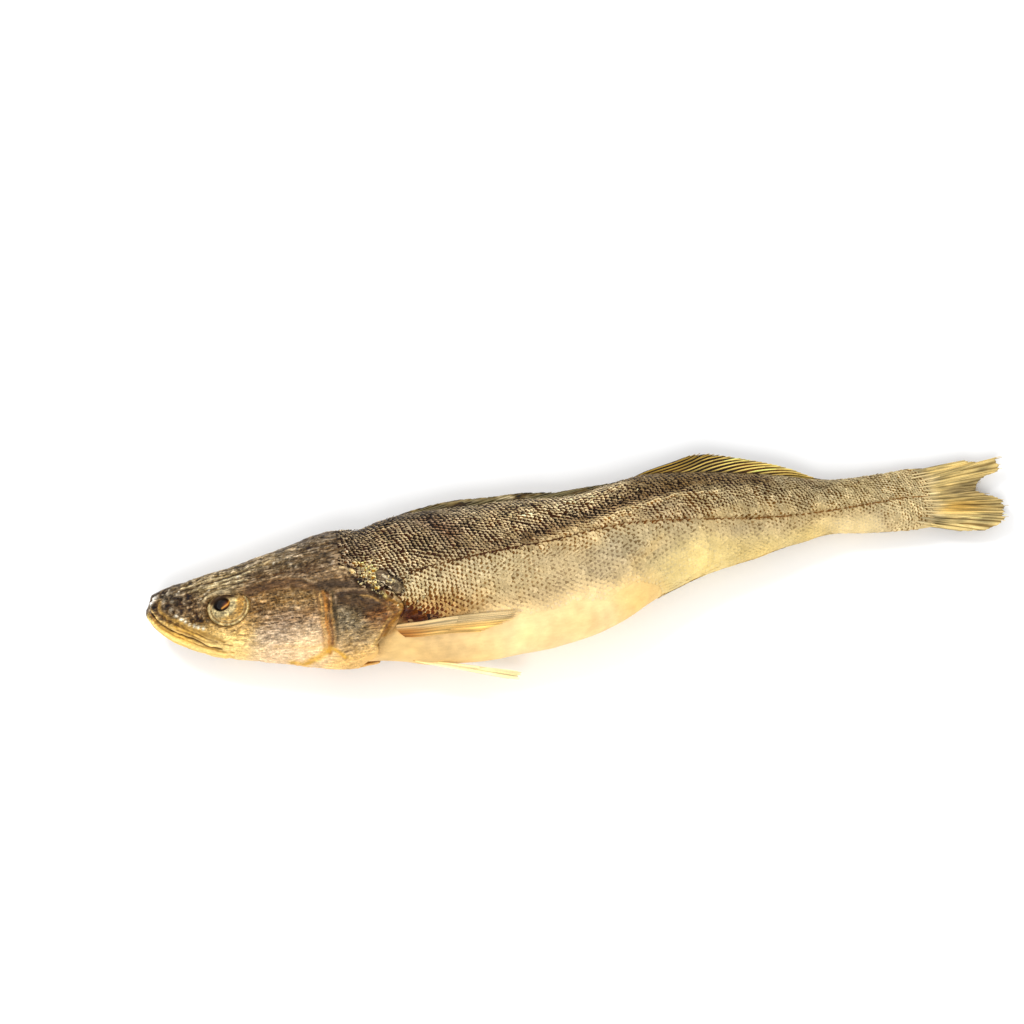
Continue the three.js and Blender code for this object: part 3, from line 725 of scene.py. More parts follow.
def wrinkles(points, head):
    """Creases on the crown and the cheek, pits on the gill cover and the snout, in mm."""
    along, across = points[:, 0], points[:, 1]
    crown = head * ease(-3, 4, across) * ease(14, 24, along)
    cheek = head * ease(44, 52, along) * (1 - ease(-4, 2, across)) * (1 - ease(76, 80, along))
    cover = head * ease(86, 90, along) * (1 - ease(-3, 2, across))
    above_mouth = ease(-1.5, 1.5, across - mouth_line(along))
    front = head * (1 - ease(22, 34, along)) * above_mouth
    fine = 0.26 * crown * (crease(points, (9, 1.5, 3), 101) - 0.35)
    fine += 0.18 * crown * (crease(points, (3.2, 0.9, 2), 111) - 0.35)
    fine += 0.22 * cheek * (crease(points, (6.5, 1.3, 2.5), 121) - 0.35)
    fine += 0.16 * cheek * (crease(points, (2.2, 0.8, 2), 131) - 0.35)
    fine += 0.26 * cover * cloud(points, 1.5, 141, 2)
    fine += 0.24 * front * cloud(points, 1.7, 151, 2)
    return fine


# %% What every point of the skin is like
def skin_facts(points):
    """How far each point stands out, in mm, its colour and contrast, and how much it is head."""
    along, across = points[:, 0], points[:, 1]
    edge = gill_edge(angle_at(along, across))
    head = 1 - ease(-1.0, 1.0, along - edge)
    colour, contrast = blotched(points)
    gap = eye_gap(along, across)
    under_brow = 1 - ease(-0.6, 0.3, across - brow_line(along))
    fine = wrinkles(points, head)
    rise = eye_relief(along, across, gap, under_brow) + fine
    rise += head * 0.4 * cloud(points, 8, 171, 2)
    rise += (1 - head) * 0.45 * cloud(points, 14, 181, 2)
    # painted light and shade from the fine wrinkles: crests painted paler, creases darker, and mixed below
    # with a random mottle
    relief_light_and_shade = np.clip(fine / 0.2, -1.6, 1.6)
    coarse = cloud(points, 1.0, 191, 1)
    mottle_and_relief_shade = (coarse * 0.5 + relief_light_and_shade) * head
    colour = colour + (mottle_and_relief_shade * contrast * mix(0.95, 0.7, ease(44, 60, along)))[:, None]
    # marks wander a little and are worn away in places
    wander = np.stack([cloud(points, 4.5, 601 + k, 2) for k in range(3)], -1)
    strayed = fold_up(points + 0.5 * wander)
    worn = 1 + 0.4 * cloud(points, 2.4, 611, 2)
    for number, mark in enumerate(MARKS + BANDS):
        reached, strength = strength_of(strayed, mark)
        height, paint, cover_share = mark[2:5]
        strength = strength * worn[reached]
        if number >= len(MARKS):
            strength = strength * (1 - head[reached])
        if height:
            rise[reached] += height * strength
        share = np.clip(cover_share * strength * 1.25, 0, 1)[:, None]
        shade = 1 + 0.16 * (mottle_and_relief_shade + 1.2 * coarse * (1 - head))[reached, None]
        colour[reached] = mix(colour[reached], np.array(paint, float) * shade, share)
        # a mark is smoother than the skin round it
        if number < len(MARKS):
            contrast[reached] *= 1 - 0.6 * share[:, 0]
    for _, radius, height, paint, places in DOTS:
        for place in on_flank(places):
            place[2] = abs(place[2] - middle(place[0]))
            strength = bell(np.linalg.norm(strayed - place, axis=1) / radius)
            rise += height * strength
            colour = mix(colour, np.array(paint, float), np.clip(strength * 1.2, 0, 1)[:, None] * 0.85)
    # inside the socket
    socket = ((1 - ease(EYE_REACH - 0.8, EYE_REACH + 0.3, gap)) * under_brow)[:, None]
    colour = mix(colour, np.array([70, 46, 20.0]), 0.85 * socket)
    return rise, colour, contrast, head


# %% Raise the details of the skin
shape = net.shape
normals = net_normals(net)
rise, skin_tint, contrast, head = skin_facts(net.reshape(-1, 3))
# the flesh under the scales is as dark as their pockets
scaly = (1 - head) * (1 - bareness(net.reshape(-1, 3)))
skin_tint = np.clip(skin_tint - (scaly * contrast * mix(0.2, 1.0, ease(24, 56, contrast)))[:, None], 8, 252)
fade = np.ones(shape[:2])
fade[:3] = np.array([0.2, 0.5, 0.8])[:, None]
flap_rows = slice(HEAD_RINGS, HEAD_RINGS + len(FLAP))
step_of_flap = np.arange(len(FLAP))
fade[flap_rows] = np.interp(step_of_flap, [0, 2, 3, 9, 11], [1, 0.5, 0, 0, 0.6])[:, None]
raised = net + normals * (rise.reshape(shape[:2]) * fade)[..., None]
print("raised between", rise.min().round(2), "and", rise.max().round(2), "mm")

# %% [markdown]
# ## Lying on the table
# The right side dried against a table, so it is pressed flat where it lay. The points below the
# table are eased up to it instead of cut, which keeps the net closed.

# %% Press the low side flat
PRESS = 0.3


def press_flat(points):
    pressed = points.copy()
    pressed[..., 2] = PRESS * np.logaddexp(0, points[..., 2] / PRESS)
    return pressed


raised = press_flat(raised)
print("the lowest point now lies", raised[..., 2].min().round(4), "mm above the table")

# %% Darken the gap under the gill cover
underside = np.zeros(shape[:2])
underside[HEAD_RINGS + 2:HEAD_RINGS + 10] = np.array([0.3, 0.9, 1, 1, 1, 1, 0.9, 0.55])[:, None]
underside = underside * gill_open(column_angles()[0]) * ease(-72, -58, column_angles()[0])
skin_tint = skin_tint.reshape(shape)
skin_tint = mix(skin_tint, np.array([70, 34, 12.0]), underside[..., None] * 0.92)
print((underside > 0.5).sum(), "points lie in the dark of the gap")

# %% Close the net and colour it
snout = raised[0].mean(0) - [0.35, 0, 0]
stump = raised[-1].mean(0)
points = np.vstack([raised.reshape(-1, 3), snout, stump])
faces = [list(face) for face in grid_faces(shape[0], shape[1], closed=True)]
last_ring = (shape[0] - 1) * shape[1]
snout_number, stump_number = len(points) - 2, len(points) - 1
for k in range(shape[1]):
    following = (k + 1) % shape[1]
    faces.append([snout_number, k, following])
    faces.append([stump_number, last_ring + following, last_ring + k])
tints = np.vstack([skin_tint.reshape(-1, 3), skin_tint[0].mean(0), skin_tint[-1].mean(0)])
rough = np.maximum(head, bareness(net.reshape(-1, 3)))
speck = np.append((0.3 + 0.7 * rough) * np.clip(contrast / 44, 0, 1.15), [0.5, 0.5])
skin_mesh = build_mesh("fish_skin", points, faces, {"skin_colour": linear(tints), "speck": speck})
skin_piece = add_object("fish_skin", skin_mesh)
print("skin:", len(skin_mesh.polygons), "faces")

# %% [markdown]
# ## Shader sums
# A material is a web of nodes, and a sum such as 1 - mask takes one node for each sign. This small
# class wraps a socket, so the sum can be written as a sum. Another class holds one material and
# makes any node from its type, its settings and what goes into its sockets.

# %% A socket that can be added and multiplied
class Wire:
    def __init__(self, finish, socket):
        self.finish = finish
        self.socket = socket

    def sum_with(self, operation, first, second):
        return self.finish.node("ShaderNodeMath", {"operation": operation}, {0: first, 1: second})

    def __add__(self, other):
        return self.sum_with("ADD", self, other)

    def __radd__(self, other):
        return self.sum_with("ADD", other, self)

    def __sub__(self, other):
        return self.sum_with("SUBTRACT", self, other)

    def __rsub__(self, other):
        return self.sum_with("SUBTRACT", other, self)

    def __mul__(self, other):
        return self.sum_with("MULTIPLY", self, other)

    def __rmul__(self, other):
        return self.sum_with("MULTIPLY", other, self)

    def clamped(self, low, high):
        inputs = {"Value": self, "Min": low, "Max": high}
        return self.finish.node("ShaderNodeClamp", {}, inputs)


# %% A material and its nodes
class Finish:
    def __init__(self, name):
        self.material = bpy.data.materials.new(name)
        self.material.use_nodes = True
        self.tree = self.material.node_tree
        self.surface = self.tree.nodes["Principled BSDF"]

    def plug(self, socket, value):
        if isinstance(value, Wire):
            self.tree.links.new(value.socket, socket)
        else:
            socket.default_value = value

    def node(self, kind, settings, inputs, output=0):
        made = self.tree.nodes.new(kind)
        for key, value in settings.items():
            setattr(made, key, value)
        for key, value in inputs.items():
            self.plug(made.inputs[key], value)
        return Wire(self, made.outputs[output])

    def attribute(self, name, output="Color"):
        return self.node("ShaderNodeAttribute", {"attribute_name": name}, {}, output)

    def noise(self, size, detail=2.0, place=None):
        """Soft noise from 0 to 1 with lumps of about size mm, in the piece's own place."""
        place = place or self.node("ShaderNodeTexCoord", {}, {}, "Object")
        inputs = {"Vector": place, "Scale": 1 / (size * MM), "Detail": detail}
        return self.node("ShaderNodeTexNoise", {}, inputs, "Fac")

    def blend(self, first, second, share, way="MIX"):
        settings = {"data_type": "RGBA", "blend_type": way}
        return self.node("ShaderNodeMix", settings, {0: share, 6: first, 7: second}, 2)

    def between(self, value, low, high):
        """0 below low, 1 above high and an eased step between. low may be the larger one."""
        settings = {"interpolation_type": "SMOOTHSTEP"}
        return self.node("ShaderNodeMapRange", settings, {"Value": value, 1: low, 2: high})

    def grey(self, value):
        """A number as a grey colour, to multiply a colour by."""
        return self.node("ShaderNodeCombineColor", {}, {0: value, 1: value, 2: value})

    def bump(self, height, depth):
        """A bump of a height from 0 to 1, standing depth mm proud."""
        inputs = {"Strength": 1.0, "Distance": depth * MM, "Height": height}
        return self.node("ShaderNodeBump", {}, inputs)


# %% [markdown]
# ## The skin's finish
# The colour is already on the points. The shader adds what is finer than the net: pale specks and
# dark pits from one noise, fibres along the fish from another that is stretched, painted glints
# from a third, a slight bump, and a gloss that comes and goes, because salt and dried fat leave
# the skin half shiny.

# %% Finish of the skin
def skin_finish():
    finish = Finish("dried_skin")
    tint = finish.attribute("skin_colour")
    strength = finish.attribute("speck", "Fac")
    grain = finish.noise(0.9, 3.0)
    settings = {"vector_type": "POINT"}
    place = finish.node("ShaderNodeTexCoord", {}, {}, "Object")
    along_fibres = {"Vector": place, "Scale": (0.16, 1.0, 1.0)}
    fibre = finish.noise(0.8, 3.0, finish.node("ShaderNodeMapping", settings, along_fibres))
    bright = finish.between(grain, 0.55, 0.64) * 0.7 + finish.between(fibre, 0.54, 0.62)
    dark = finish.between(grain, 0.46, 0.38) * 0.6 + finish.between(fibre, 0.46, 0.38) * 0.9
    # thin dark cracks run where another noise crosses its middle value
    wide_fibres = {"Vector": place, "Scale": (0.3, 1.0, 1.0)}
    course = finish.noise(2.2, 4.0, finish.node("ShaderNodeMapping", settings, wide_fibres))
    crack = finish.between(course, 0.478, 0.5) * finish.between(course, 0.522, 0.5)
    # painted glints: small pale flecks where a fine noise runs high
    fleck = finish.between(finish.noise(0.75, 1.0), 0.63, 0.69)
    light = 1 + strength * (bright * 0.8 + fleck * 0.8 - dark * 0.44 - crack * 0.4)
    light = light.clamped(0.14, 3.0)
    colour = finish.blend(tint, finish.grey(light), 1.0, "MULTIPLY")
    height = (grain * 0.6 + fibre * 0.4 - crack * 0.5) * (0.25 + strength)
    lumps = finish.noise(1.6, 2.0)
    roughness = (0.24 + lumps * 0.4).clamped(0.2, 0.7)
    sockets = {"Base Color": colour, "Roughness": roughness, "Normal": finish.bump(height, 0.24)}
    for name, value in sockets.items():
        finish.plug(finish.surface.inputs[name], value)
    finish.surface.inputs["Specular IOR Level"].default_value = 0.18
    return finish.material


skin_piece.data.materials.append(skin_finish())
print("skin finish has", len(skin_piece.data.materials[0].node_tree.nodes), "nodes")

# %% [markdown]
# ## One scale
# A scale is a thin rounded plate, rooted in front and free behind, so its rim stands over the next
# one like a roof tile. Thousands are needed, so this one has only about twenty faces. Two values are
# kept for the finish to paint by: rim runs from 0 at the hidden root to 1 at the free rim, and
# beside from -1 at the lower edge to 1 at the upper.

# %% The shape of one scale
SCALE_LONG = 2.9
SCALE_WIDE = 2.7
SCALE_THICK = 0.12
SCALE_TILT = 0.4
SCALE_DOME = 0.07


def scale_mesh(name, tube):
    """tube is how high the pore canal of a lateral-line scale stands."""
    shares = [0.0, 0.5, 1.0]
    across = np.linspace(-1, 1, 5)
    points, rim = [], []
    for share in shares:
        for v in across:
            rear = SCALE_LONG * (0.5 - 0.24 * v * v)
            x = mix(-0.5 * SCALE_LONG, rear, share)
            y = 0.5 * SCALE_WIDE * v * (0.86 + 0.14 * math.sin(math.pi * share))
            dome = SCALE_DOME * (1 - v * v) + tube * (1 - abs(v)) ** 2
            points.append((x, y, SCALE_TILT * share ** 1.3 + dome * (0.4 + 0.6 * share)))
            # a lateral-line scale is dark along its middle, where the canal runs
            rim.append(0.0 if tube and v == 0 else share)
    for v in across:
        x, y, z = points[10 + int(round((v + 1) * 2))]
        points.append((x - 0.08, y, z - SCALE_THICK))
        rim.append(0.5)
    faces = [tuple(face) for face in grid_faces(4, 5)]
    faces += [(k, 1 + k, 16 + k, 15 + k) for k in range(4)]
    faces += [(0, 15, 5), (5, 15, 10), (4, 9, 19), (9, 14, 19)]
    scaled = np.array(points) * MM
    values = {"rim": np.array(rim), "beside": np.tile(across, 4)}
    mesh = build_mesh(name, scaled, faces, values, in_frame=True)
    # a smooth turn into the rim would make every scale look like a cushion
    sharp = {key for face in list(mesh.polygons)[8:] for key in face.edge_keys}
    for edge in mesh.edges:
        edge.use_edge_sharp = edge.key in sharp
    return mesh


plain_scale = scale_mesh("plain_scale", 0.0)
print("one scale:", len(plain_scale.polygons), "faces")

# %% [markdown]
# ## A tree that plants pieces on points
# Geometry Nodes copies the scale to every point of a carrier mesh. Each carrier point holds the way
# the skin faces, the way to the tail, and a size. Those values also come through to the copies, and
# so do the colours, so each scale has its own. The copies are made real at the end.

# %% Build the planting tree
def group_input(tree, name, kind):
    return tree.interface.new_socket(name=name, in_out="INPUT", socket_type=kind)


def planting_tree():
    tree = bpy.data.node_groups.new("plant_on_points", "GeometryNodeTree")
    group_input(tree, "Carrier", "NodeSocketGeometry")
    group_input(tree, "Planted shape", "NodeSocketObject")
    group_input(tree, "Size", "NodeSocketFloat")
    group_input(tree, "Finish", "NodeSocketMaterial")
    tree.interface.new_socket(name="Geometry", in_out="OUTPUT", socket_type="NodeSocketGeometry")
    make, link = tree.nodes.new, tree.links.new
    given = make("NodeGroupInput")
    result = make("NodeGroupOutput")

    def named(name, kind):
        reader = make("GeometryNodeInputNamedAttribute")
        reader.data_type = kind
        reader.inputs["Name"].default_value = name
        return reader.outputs["Attribute"]

    turn = make("FunctionNodeAxesToRotation")
    turn.primary_axis = "Z"
    turn.secondary_axis = "X"
    link(named("facing", "FLOAT_VECTOR"), turn.inputs["Primary Axis"])
    link(named("tailward", "FLOAT_VECTOR"), turn.inputs["Secondary Axis"])
    shape = make("GeometryNodeObjectInfo")
    link(given.outputs["Planted shape"], shape.inputs["Object"])
    sized = make("ShaderNodeVectorMath")
    sized.operation = "SCALE"
    link(named("size", "FLOAT_VECTOR"), sized.inputs[0])
    link(given.outputs["Size"], sized.inputs["Scale"])
    plant = make("GeometryNodeInstanceOnPoints")
    link(given.outputs["Carrier"], plant.inputs["Points"])
    link(shape.outputs["Geometry"], plant.inputs["Instance"])
    link(turn.outputs["Rotation"], plant.inputs["Rotation"])
    link(sized.outputs["Vector"], plant.inputs["Scale"])
    real = make("GeometryNodeRealizeInstances")
    link(plant.outputs["Instances"], real.inputs["Geometry"])
    finish = make("GeometryNodeSetMaterial")
    link(real.outputs["Geometry"], finish.inputs["Geometry"])
    link(given.outputs["Finish"], finish.inputs["Material"])
    link(finish.outputs["Geometry"], result.inputs["Geometry"])
    return tree


planting = planting_tree()
print("planting tree has", len(planting.nodes), "nodes")

# %% Run a tree and keep its mesh
def grow(name, carrier, tree, **inputs):
    """Run a tree on a carrier mesh and keep the result as a plain mesh object."""
    holder = add_object(name + "_carrier", carrier)
    modifier = holder.modifiers.new("grow", "NODES")
    modifier.node_group = tree
    sockets = {item.name.replace(" ", "_"): item.identifier for item in tree.interface.items_tree
               if item.item_type == "SOCKET" and item.in_out == "INPUT"}
    for key, value in inputs.items():
        modifier[sockets[key]] = value
    bpy.context.view_layer.update()
    grown = holder.evaluated_get(bpy.context.evaluated_depsgraph_get())
    mesh = bpy.data.meshes.new_from_object(grown)
    mesh.name = name
    bpy.data.objects.remove(holder)
    piece = add_object(name, mesh)
    print(name + ":", sum(len(face.vertices) - 2 for face in mesh.polygons), "triangles")
    return piece


# %% [markdown]
# ## Where the scales sit
# Scales grow in rings round the body, every second ring half a step out of line, and the rows keep
# their distance from the lateral line, whose own scales stand closer. Above it the rings lean
# forward. They start on the nape and behind the gill cover, and end on the tail fin's root.

# %% Steps between the scales
SCALE_STEP = 1.82
ROW_STEP = 2.04
BACK_ROW_STEP = 1.62
# fewer rows than this from the lateral line, and a scale is one of the line's own
ON_LINE = 0.3
lateral_line = curve_through([
    (100, -14), (116, -8.4), (126, -4.2), (140, -2.4), (154, -1.1), (172, 0.4), (191, 1.9), (210, 4.7),
    (228, 5.8), (247, 5.2), (266, 4.4), (294, 3.6), (323, 5.0), (342, 6.6), (356, 8.4),
])
ROW_LEAN = 0.4
SCALES_START = 72.0
SCALES_END = 384.0
# where the scales begin behind the head, for each angle round the body
scale_front = curve_through([
    (-90, 117), (-52, 117), (-42, 118), (-27, 119.5), (-14, 111), (-7, 101), (4, 98), (14, 93), (30, 90),
    (90, 90),
])


def fineness(along):
    """Scales are smaller on the nape and on the tail stalk."""
    return mix(0.7, 1.0, ease(92, 128, along)) * mix(1.0, 0.74, ease(230, 350, along))


ring_starts = [SCALES_START]
while ring_starts[-1] < SCALES_END:
    ring_starts.append(ring_starts[-1] + SCALE_STEP * float(fineness(ring_starts[-1])))
print(len(ring_starts), "rings of scales")

# %% One ring of scales
def ring_places(number, side):
    """Places and angles of one ring's scales, and how many rows each is from the lateral line."""
    along = ring_starts[number]
    below = ROW_STEP * fineness(along)
    above = BACK_ROW_STEP * fineness(along)
    angles = np.linspace(-88, 86, 500)
    path = skin(np.full_like(angles, along), angles, side)
    measure = np.r_[0, np.cumsum(np.linalg.norm(np.diff(path, axis=0), axis=1))]
    start = np.interp(angle_at(along, lateral_line(along)), angles, measure)
    offset = 0.5 * (number % 2)
    first = math.ceil(-start / below - offset)
    last = math.floor((measure[-1] - start) / above - offset)
    rows = np.arange(first, last + 1) + offset
    if number % 2:
        rows = np.append(rows, 0.0)
    reach = start + np.where(rows > 0, above, below) * rows
    spots = skin(np.full(len(rows), along), np.interp(reach, measure, angles), side)
    sway = np.where(np.abs(rows) < ON_LINE, 0.0, 1.0)
    drift = sway * (1.3 * cloud(spots, 11, 501 + side, 2) + 0.45 * cloud(spots, 3, 511 + side, 1))
    slide = sway * (1.3 * cloud(spots, 13, 521 + side, 2) + 0.45 * cloud(spots, 3, 531 + side, 1))
    lean = -ROW_LEAN * np.maximum(rows, 0) * above
    return along + lean + slide, np.interp(reach + drift, measure, angles), rows


print(len(ring_places(20, 1)[0]), "scales in ring 20 of the left side, before any is left out")

# %% All the rings of one side
# no scale grows lower than this above the table
SCALES_LOWEST = 1.6


def scale_places(side):
    rings = [ring_places(number, side) for number in range(len(ring_starts))]
    along, angle, rows = (np.concatenate(column) for column in zip(*rings))
    spot = skin(along, angle, side)
    # ahead they reach onto the nape, and behind they end in a round edge on the tail fin's root
    ragged = np.abs(np.random.default_rng(9).normal(0, 3, len(spot))) * ease(2, 16, angle)
    front = scale_front(angle) + 2.0 * cloud(spot, 4, 541, 1) + ragged
    tail_root = 370 - 7 * np.abs((spot[:, 1] - 9.5) / 14.5) ** 2 + 2.6 * cloud(spot, 3, 551, 1)
    kept = (along > front) & (along < tail_root) & (spot[:, 2] > SCALES_LOWEST)
    kept &= (bareness(spot) < 0.5) & (np.abs(angle) < mix(90, 74, ease(330, 356, along)))
    return along[kept], angle[kept], rows[kept]


# %% Which way a scale faces
def unit(vectors):
    return vectors / np.linalg.norm(vectors, axis=1, keepdims=True)


def skin_axes(along, angle, side):
    """The skin's outward way and the way to the tail, at places on the skin."""
    ahead = skin(along + 0.8, angle, side) - skin(along - 0.8, angle, side)
    upward = skin(along, angle + 0.8, side) - skin(along, angle - 0.8, side)
    facing = side * np.cross(ahead, upward)
    return unit(facing), unit(ahead)


# %% What each scale carries
def scale_carrier(side):
    along, angle, rows = scale_places(side)
    facing, tailward = skin_axes(along, angle, side)
    spot = skin(along, angle, side)
    rise, colour, contrast = skin_facts(spot)[:3]
    # where the skin is smooth and plain, the scales lie too deep to see
    seen = contrast > 8
    along, rows, spot, facing, tailward, rise, colour, contrast = (
        fact[seen] for fact in (along, rows, spot, facing, tailward, rise, colour, contrast))
    random = np.random.default_rng(7 if side > 0 else 8)
    count = len(spot)
    spot = spot + facing * (rise + 0.05 + random.normal(0, 0.03, count))[:, None]
    sway = random.normal(0, 0.07, (count, 3)) * np.array([1, 1, 0.4])
    stand = ease(20, 58, contrast)
    ruffled = mix(0.2, 0.07, ease(98, 130, along))
    facing = facing + tailward * (random.normal(-0.02, 1, count) * ruffled * stand)[:, None]
    facing = facing + random.normal(0, 1, (count, 3)) * ((ruffled - 0.07) * stand)[:, None]
    width = random.normal(1, 0.05, count)
    length = random.normal(1, 0.06, count)
    small = fineness(along)
    narrow = np.where(rows > 0, BACK_ROW_STEP / ROW_STEP, 1.0)
    height = mix(0.1, 1.15, stand) * random.normal(1, 0.2, count)
    size = np.stack([small * length, small * width * narrow, height], -1)
    tone = random.normal(0, 0.24, count) + 0.25 * cloud(spot, 3.4, 561, 2)
    tone = (tone * contrast)[:, None]
    marked = ease(16, 50, contrast)
    # the open scales catch more light than the bare skin, so their paint is darker
    levels = [8, 20, 50]
    shade = [np.interp(contrast, levels, row) for row in
             ([0.96, 0.875, 0.83], [0.99, 0.88, 0.83], [1.08, 0.95, 0.82])]
    colour = colour * mix(1.0, np.stack(shade, -1), ease(100, 126, along)[:, None])
    # some scales are clouded over, so their pockets hardly show
    clear = np.clip(0.95 + 0.4 * cloud(spot, 7, 571, 2) + random.normal(0, 0.18, count), 0.15, 1.7)
    clear = mix(clear, 1.0, marked) * ease(6, 18, contrast)
    light = colour + (contrast * mix(0.3, 0.98, marked))[:, None] + tone
    dark = colour - (contrast * mix(2.1, 1.2, marked) * clear)[:, None] + 0.5 * tone
    lateral = np.abs(rows) < ON_LINE
    line_tint = np.array([0.78, 0.69, 0.53])
    dark[lateral] = mix(dark, colour * line_tint, ease(165, 250, along)[:, None])[lateral]
    yellowed = mix(np.ones(3), np.array([1.08, 0.88, 0.56]), ease(12, 54, contrast)[:, None])
    pocket = mix(0.46, 0.80, ease(30, 62, contrast)) + random.normal(0, 0.06, count)
    line_pocket = mix(pocket, 0.42, ease(165, 250, along))
    values = {
        "facing": facing, "tailward": tailward + sway, "size": size,
        "light_colour": linear(np.clip(light * np.array([1.0, 0.985, 0.91]), 10, 253)),
        "pocket_colour": linear(np.clip(dark * yellowed, [30, 16, 6], 250)),
        "pocket_reach": np.where(lateral, line_pocket, pocket),
        "speck": np.clip(contrast / 55, 0, 1),
    }
    return spot, values, lateral


left_spots, left_values, left_lateral = scale_carrier(1)
right_spots, right_values, right_lateral = scale_carrier(-1)
print(len(left_spots), "scales on the left,", len(right_spots), "on the right")

# %% [markdown]
# ## Finish of the scales
# Each scale is dark in its pocket and pale at its rim, and its upper side is painted paler, partly
# the slant of the pocket and partly painted light from above. On the back the two differ strongly,
# which makes the salt-and-pepper look, and on the belly they nearly match. Bright specks on the
# scales are partly their grain and partly painted glints.

# %% Finish of the scales
def scale_finish():
    finish = Finish("dried_scales")
    rim = finish.attribute("rim", "Fac")
    grain = finish.noise(0.7, 2.0)
    beside = finish.attribute("beside", "Fac")
    pocket = finish.attribute("pocket_reach", "Fac")
    # on plain skin only a dot stays dark, on strongly marked skin the whole pocket
    strength = finish.attribute("speck", "Fac")
    plain = (1 - strength * 1.4).clamped(0.0, 1.0)
    # the upper side of each scale is painted paler and its dark pocket leans to the lower side: partly the
    # slant of the pocket, partly painted light from above
    curved = rim + beside * beside * (0.3 + plain * 1.6) + beside * 0.34
    pale = finish.between(curved, pocket - 0.1, pocket + 0.1)
    colour = finish.blend(finish.attribute("pocket_colour"), finish.attribute("light_colour"), pale)
    # bright specks, partly the scales' grain and partly painted glints
    bright = finish.between(grain, 0.53, 0.66)
    dark = finish.between(grain, 0.47, 0.36)
    light = 1 + strength * (bright * 0.5 - dark * 0.34)
    colour = finish.blend(colour, finish.grey(light), 1.0, "MULTIPLY")
    roughness = (0.28 + grain * 0.3).clamped(0.2, 0.7)
    sockets = {"Base Color": colour, "Roughness": roughness, "Normal": finish.bump(grain, 0.05)}
    for name, value in sockets.items():
        finish.plug(finish.surface.inputs[name], value)
    finish.surface.inputs["Specular IOR Level"].default_value = 0.08
    return finish.material


scale_material = scale_finish()


# %% Plant the scales
def plant_scales(name, shape_mesh, spots, values, kept):
    kept_values = {key: value[kept] for key, value in values.items()}
    carrier = build_mesh(name + "_points", spots[kept], [], kept_values)
    shape_object = add_object(name + "_shape", shape_mesh)
    piece = grow(name, carrier, planting, Planted_shape=shape_object, Size=1.0, Finish=scale_material)
    bpy.data.objects.remove(shape_object)
    return piece


line_scale = scale_mesh("line_scale", 0.16)
# each side is cut in two pieces here, so that none grows too heavy
SPLIT_AT = 190.0
SIDES = [
    ("left", left_spots, left_values, left_lateral),
    ("right", right_spots, right_values, right_lateral),
]
scale_pieces = []
for side_name, spots, values, lateral in SIDES:
    ahead = spots[:, 0] < SPLIT_AT
    parts = [
        ("front_scales", plain_scale, ~lateral & ahead),
        ("rear_scales", plain_scale, ~lateral & ~ahead),
        ("line_scales", line_scale, lateral),
    ]
    for part_name, shape_mesh, kept in parts:
        piece = plant_scales(side_name + "_" + part_name, shape_mesh, spots, values, kept)
        scale_pieces.append(piece)

# %% [markdown]
# ## Loose scales
# On the shoulder and along the folded fin, dried scales have come off and stick to the skin at
# all angles. They are the same scale, planted on a few scattered points.

# %% Scatter loose scales
loose_random = np.random.default_rng(31)
LOOSE_PLACES = [
    # centre, spread along and across, how many, scale of each
    ((102.8, -1.0), (2.6, 3.8), 90, 0.36),
    ((106.5, -11.0), (1.4, 2.6), 18, 0.34),
    ((112.0, -8.6), (1.6, 2.2), 16, 0.3),
    ((121.0, -18.5), (4.0, 2.0), 16, 0.38),
    ((206.0, 25.0), (14.0, 2.0), 26, 0.42),
]


def loose_scales():
    places, sizes = [], []
    for (along, across), (long, wide), count, size in LOOSE_PLACES:
        drawn = loose_random.normal(0, 1, (count, 2)) * np.array([long, wide]) + np.array([along, across])
        places.append(drawn)
        sizes.append(np.full(count, size) * loose_random.uniform(0.7, 1.3, count))
    places, sizes = np.vstack(places), np.concatenate(sizes)
    along, angle = places[:, 0], angle_at(places[:, 0], places[:, 1])
    facing = skin_axes(along, angle, 1)[0]
    spot = skin(along, angle)
    rise = skin_facts(spot)[0]
    count = len(spot)
    tilt = loose_random.normal(0, 0.5, (count, 3))
    light = np.array([222, 204, 154.0]) * loose_random.uniform(0.6, 1.14, (count, 1))
    values = {
        "facing": facing + tilt, "tailward": loose_random.normal(0, 1, (count, 3)),
        "size": np.repeat(sizes[:, None], 3, 1),
        "light_colour": linear(np.clip(light, 10, 250)),
        "pocket_colour": linear(light * np.array([0.72, 0.62, 0.42])),
        "pocket_reach": np.full(count, 0.4),
        "speck": np.full(count, 0.8),
    }
    return spot + facing * (rise + 0.35)[:, None], values


loose_spots, loose_values = loose_scales()
everywhere = np.ones(len(loose_spots), bool)
scale_pieces.append(plant_scales("loose_scales", plain_scale, loose_spots, loose_values, everywhere))

# %% [markdown]
# ## A tree that draws rays
# A fin is a fan of stiff rays with a thin web between them. Each ray is a tapered rod along a line,
# so a second tree turns the lines of a carrier mesh into round rods: every point of a line holds
# its own radius, and the rods' ends are closed.

# %% Build the ray tree
RAY_SIDES = 6


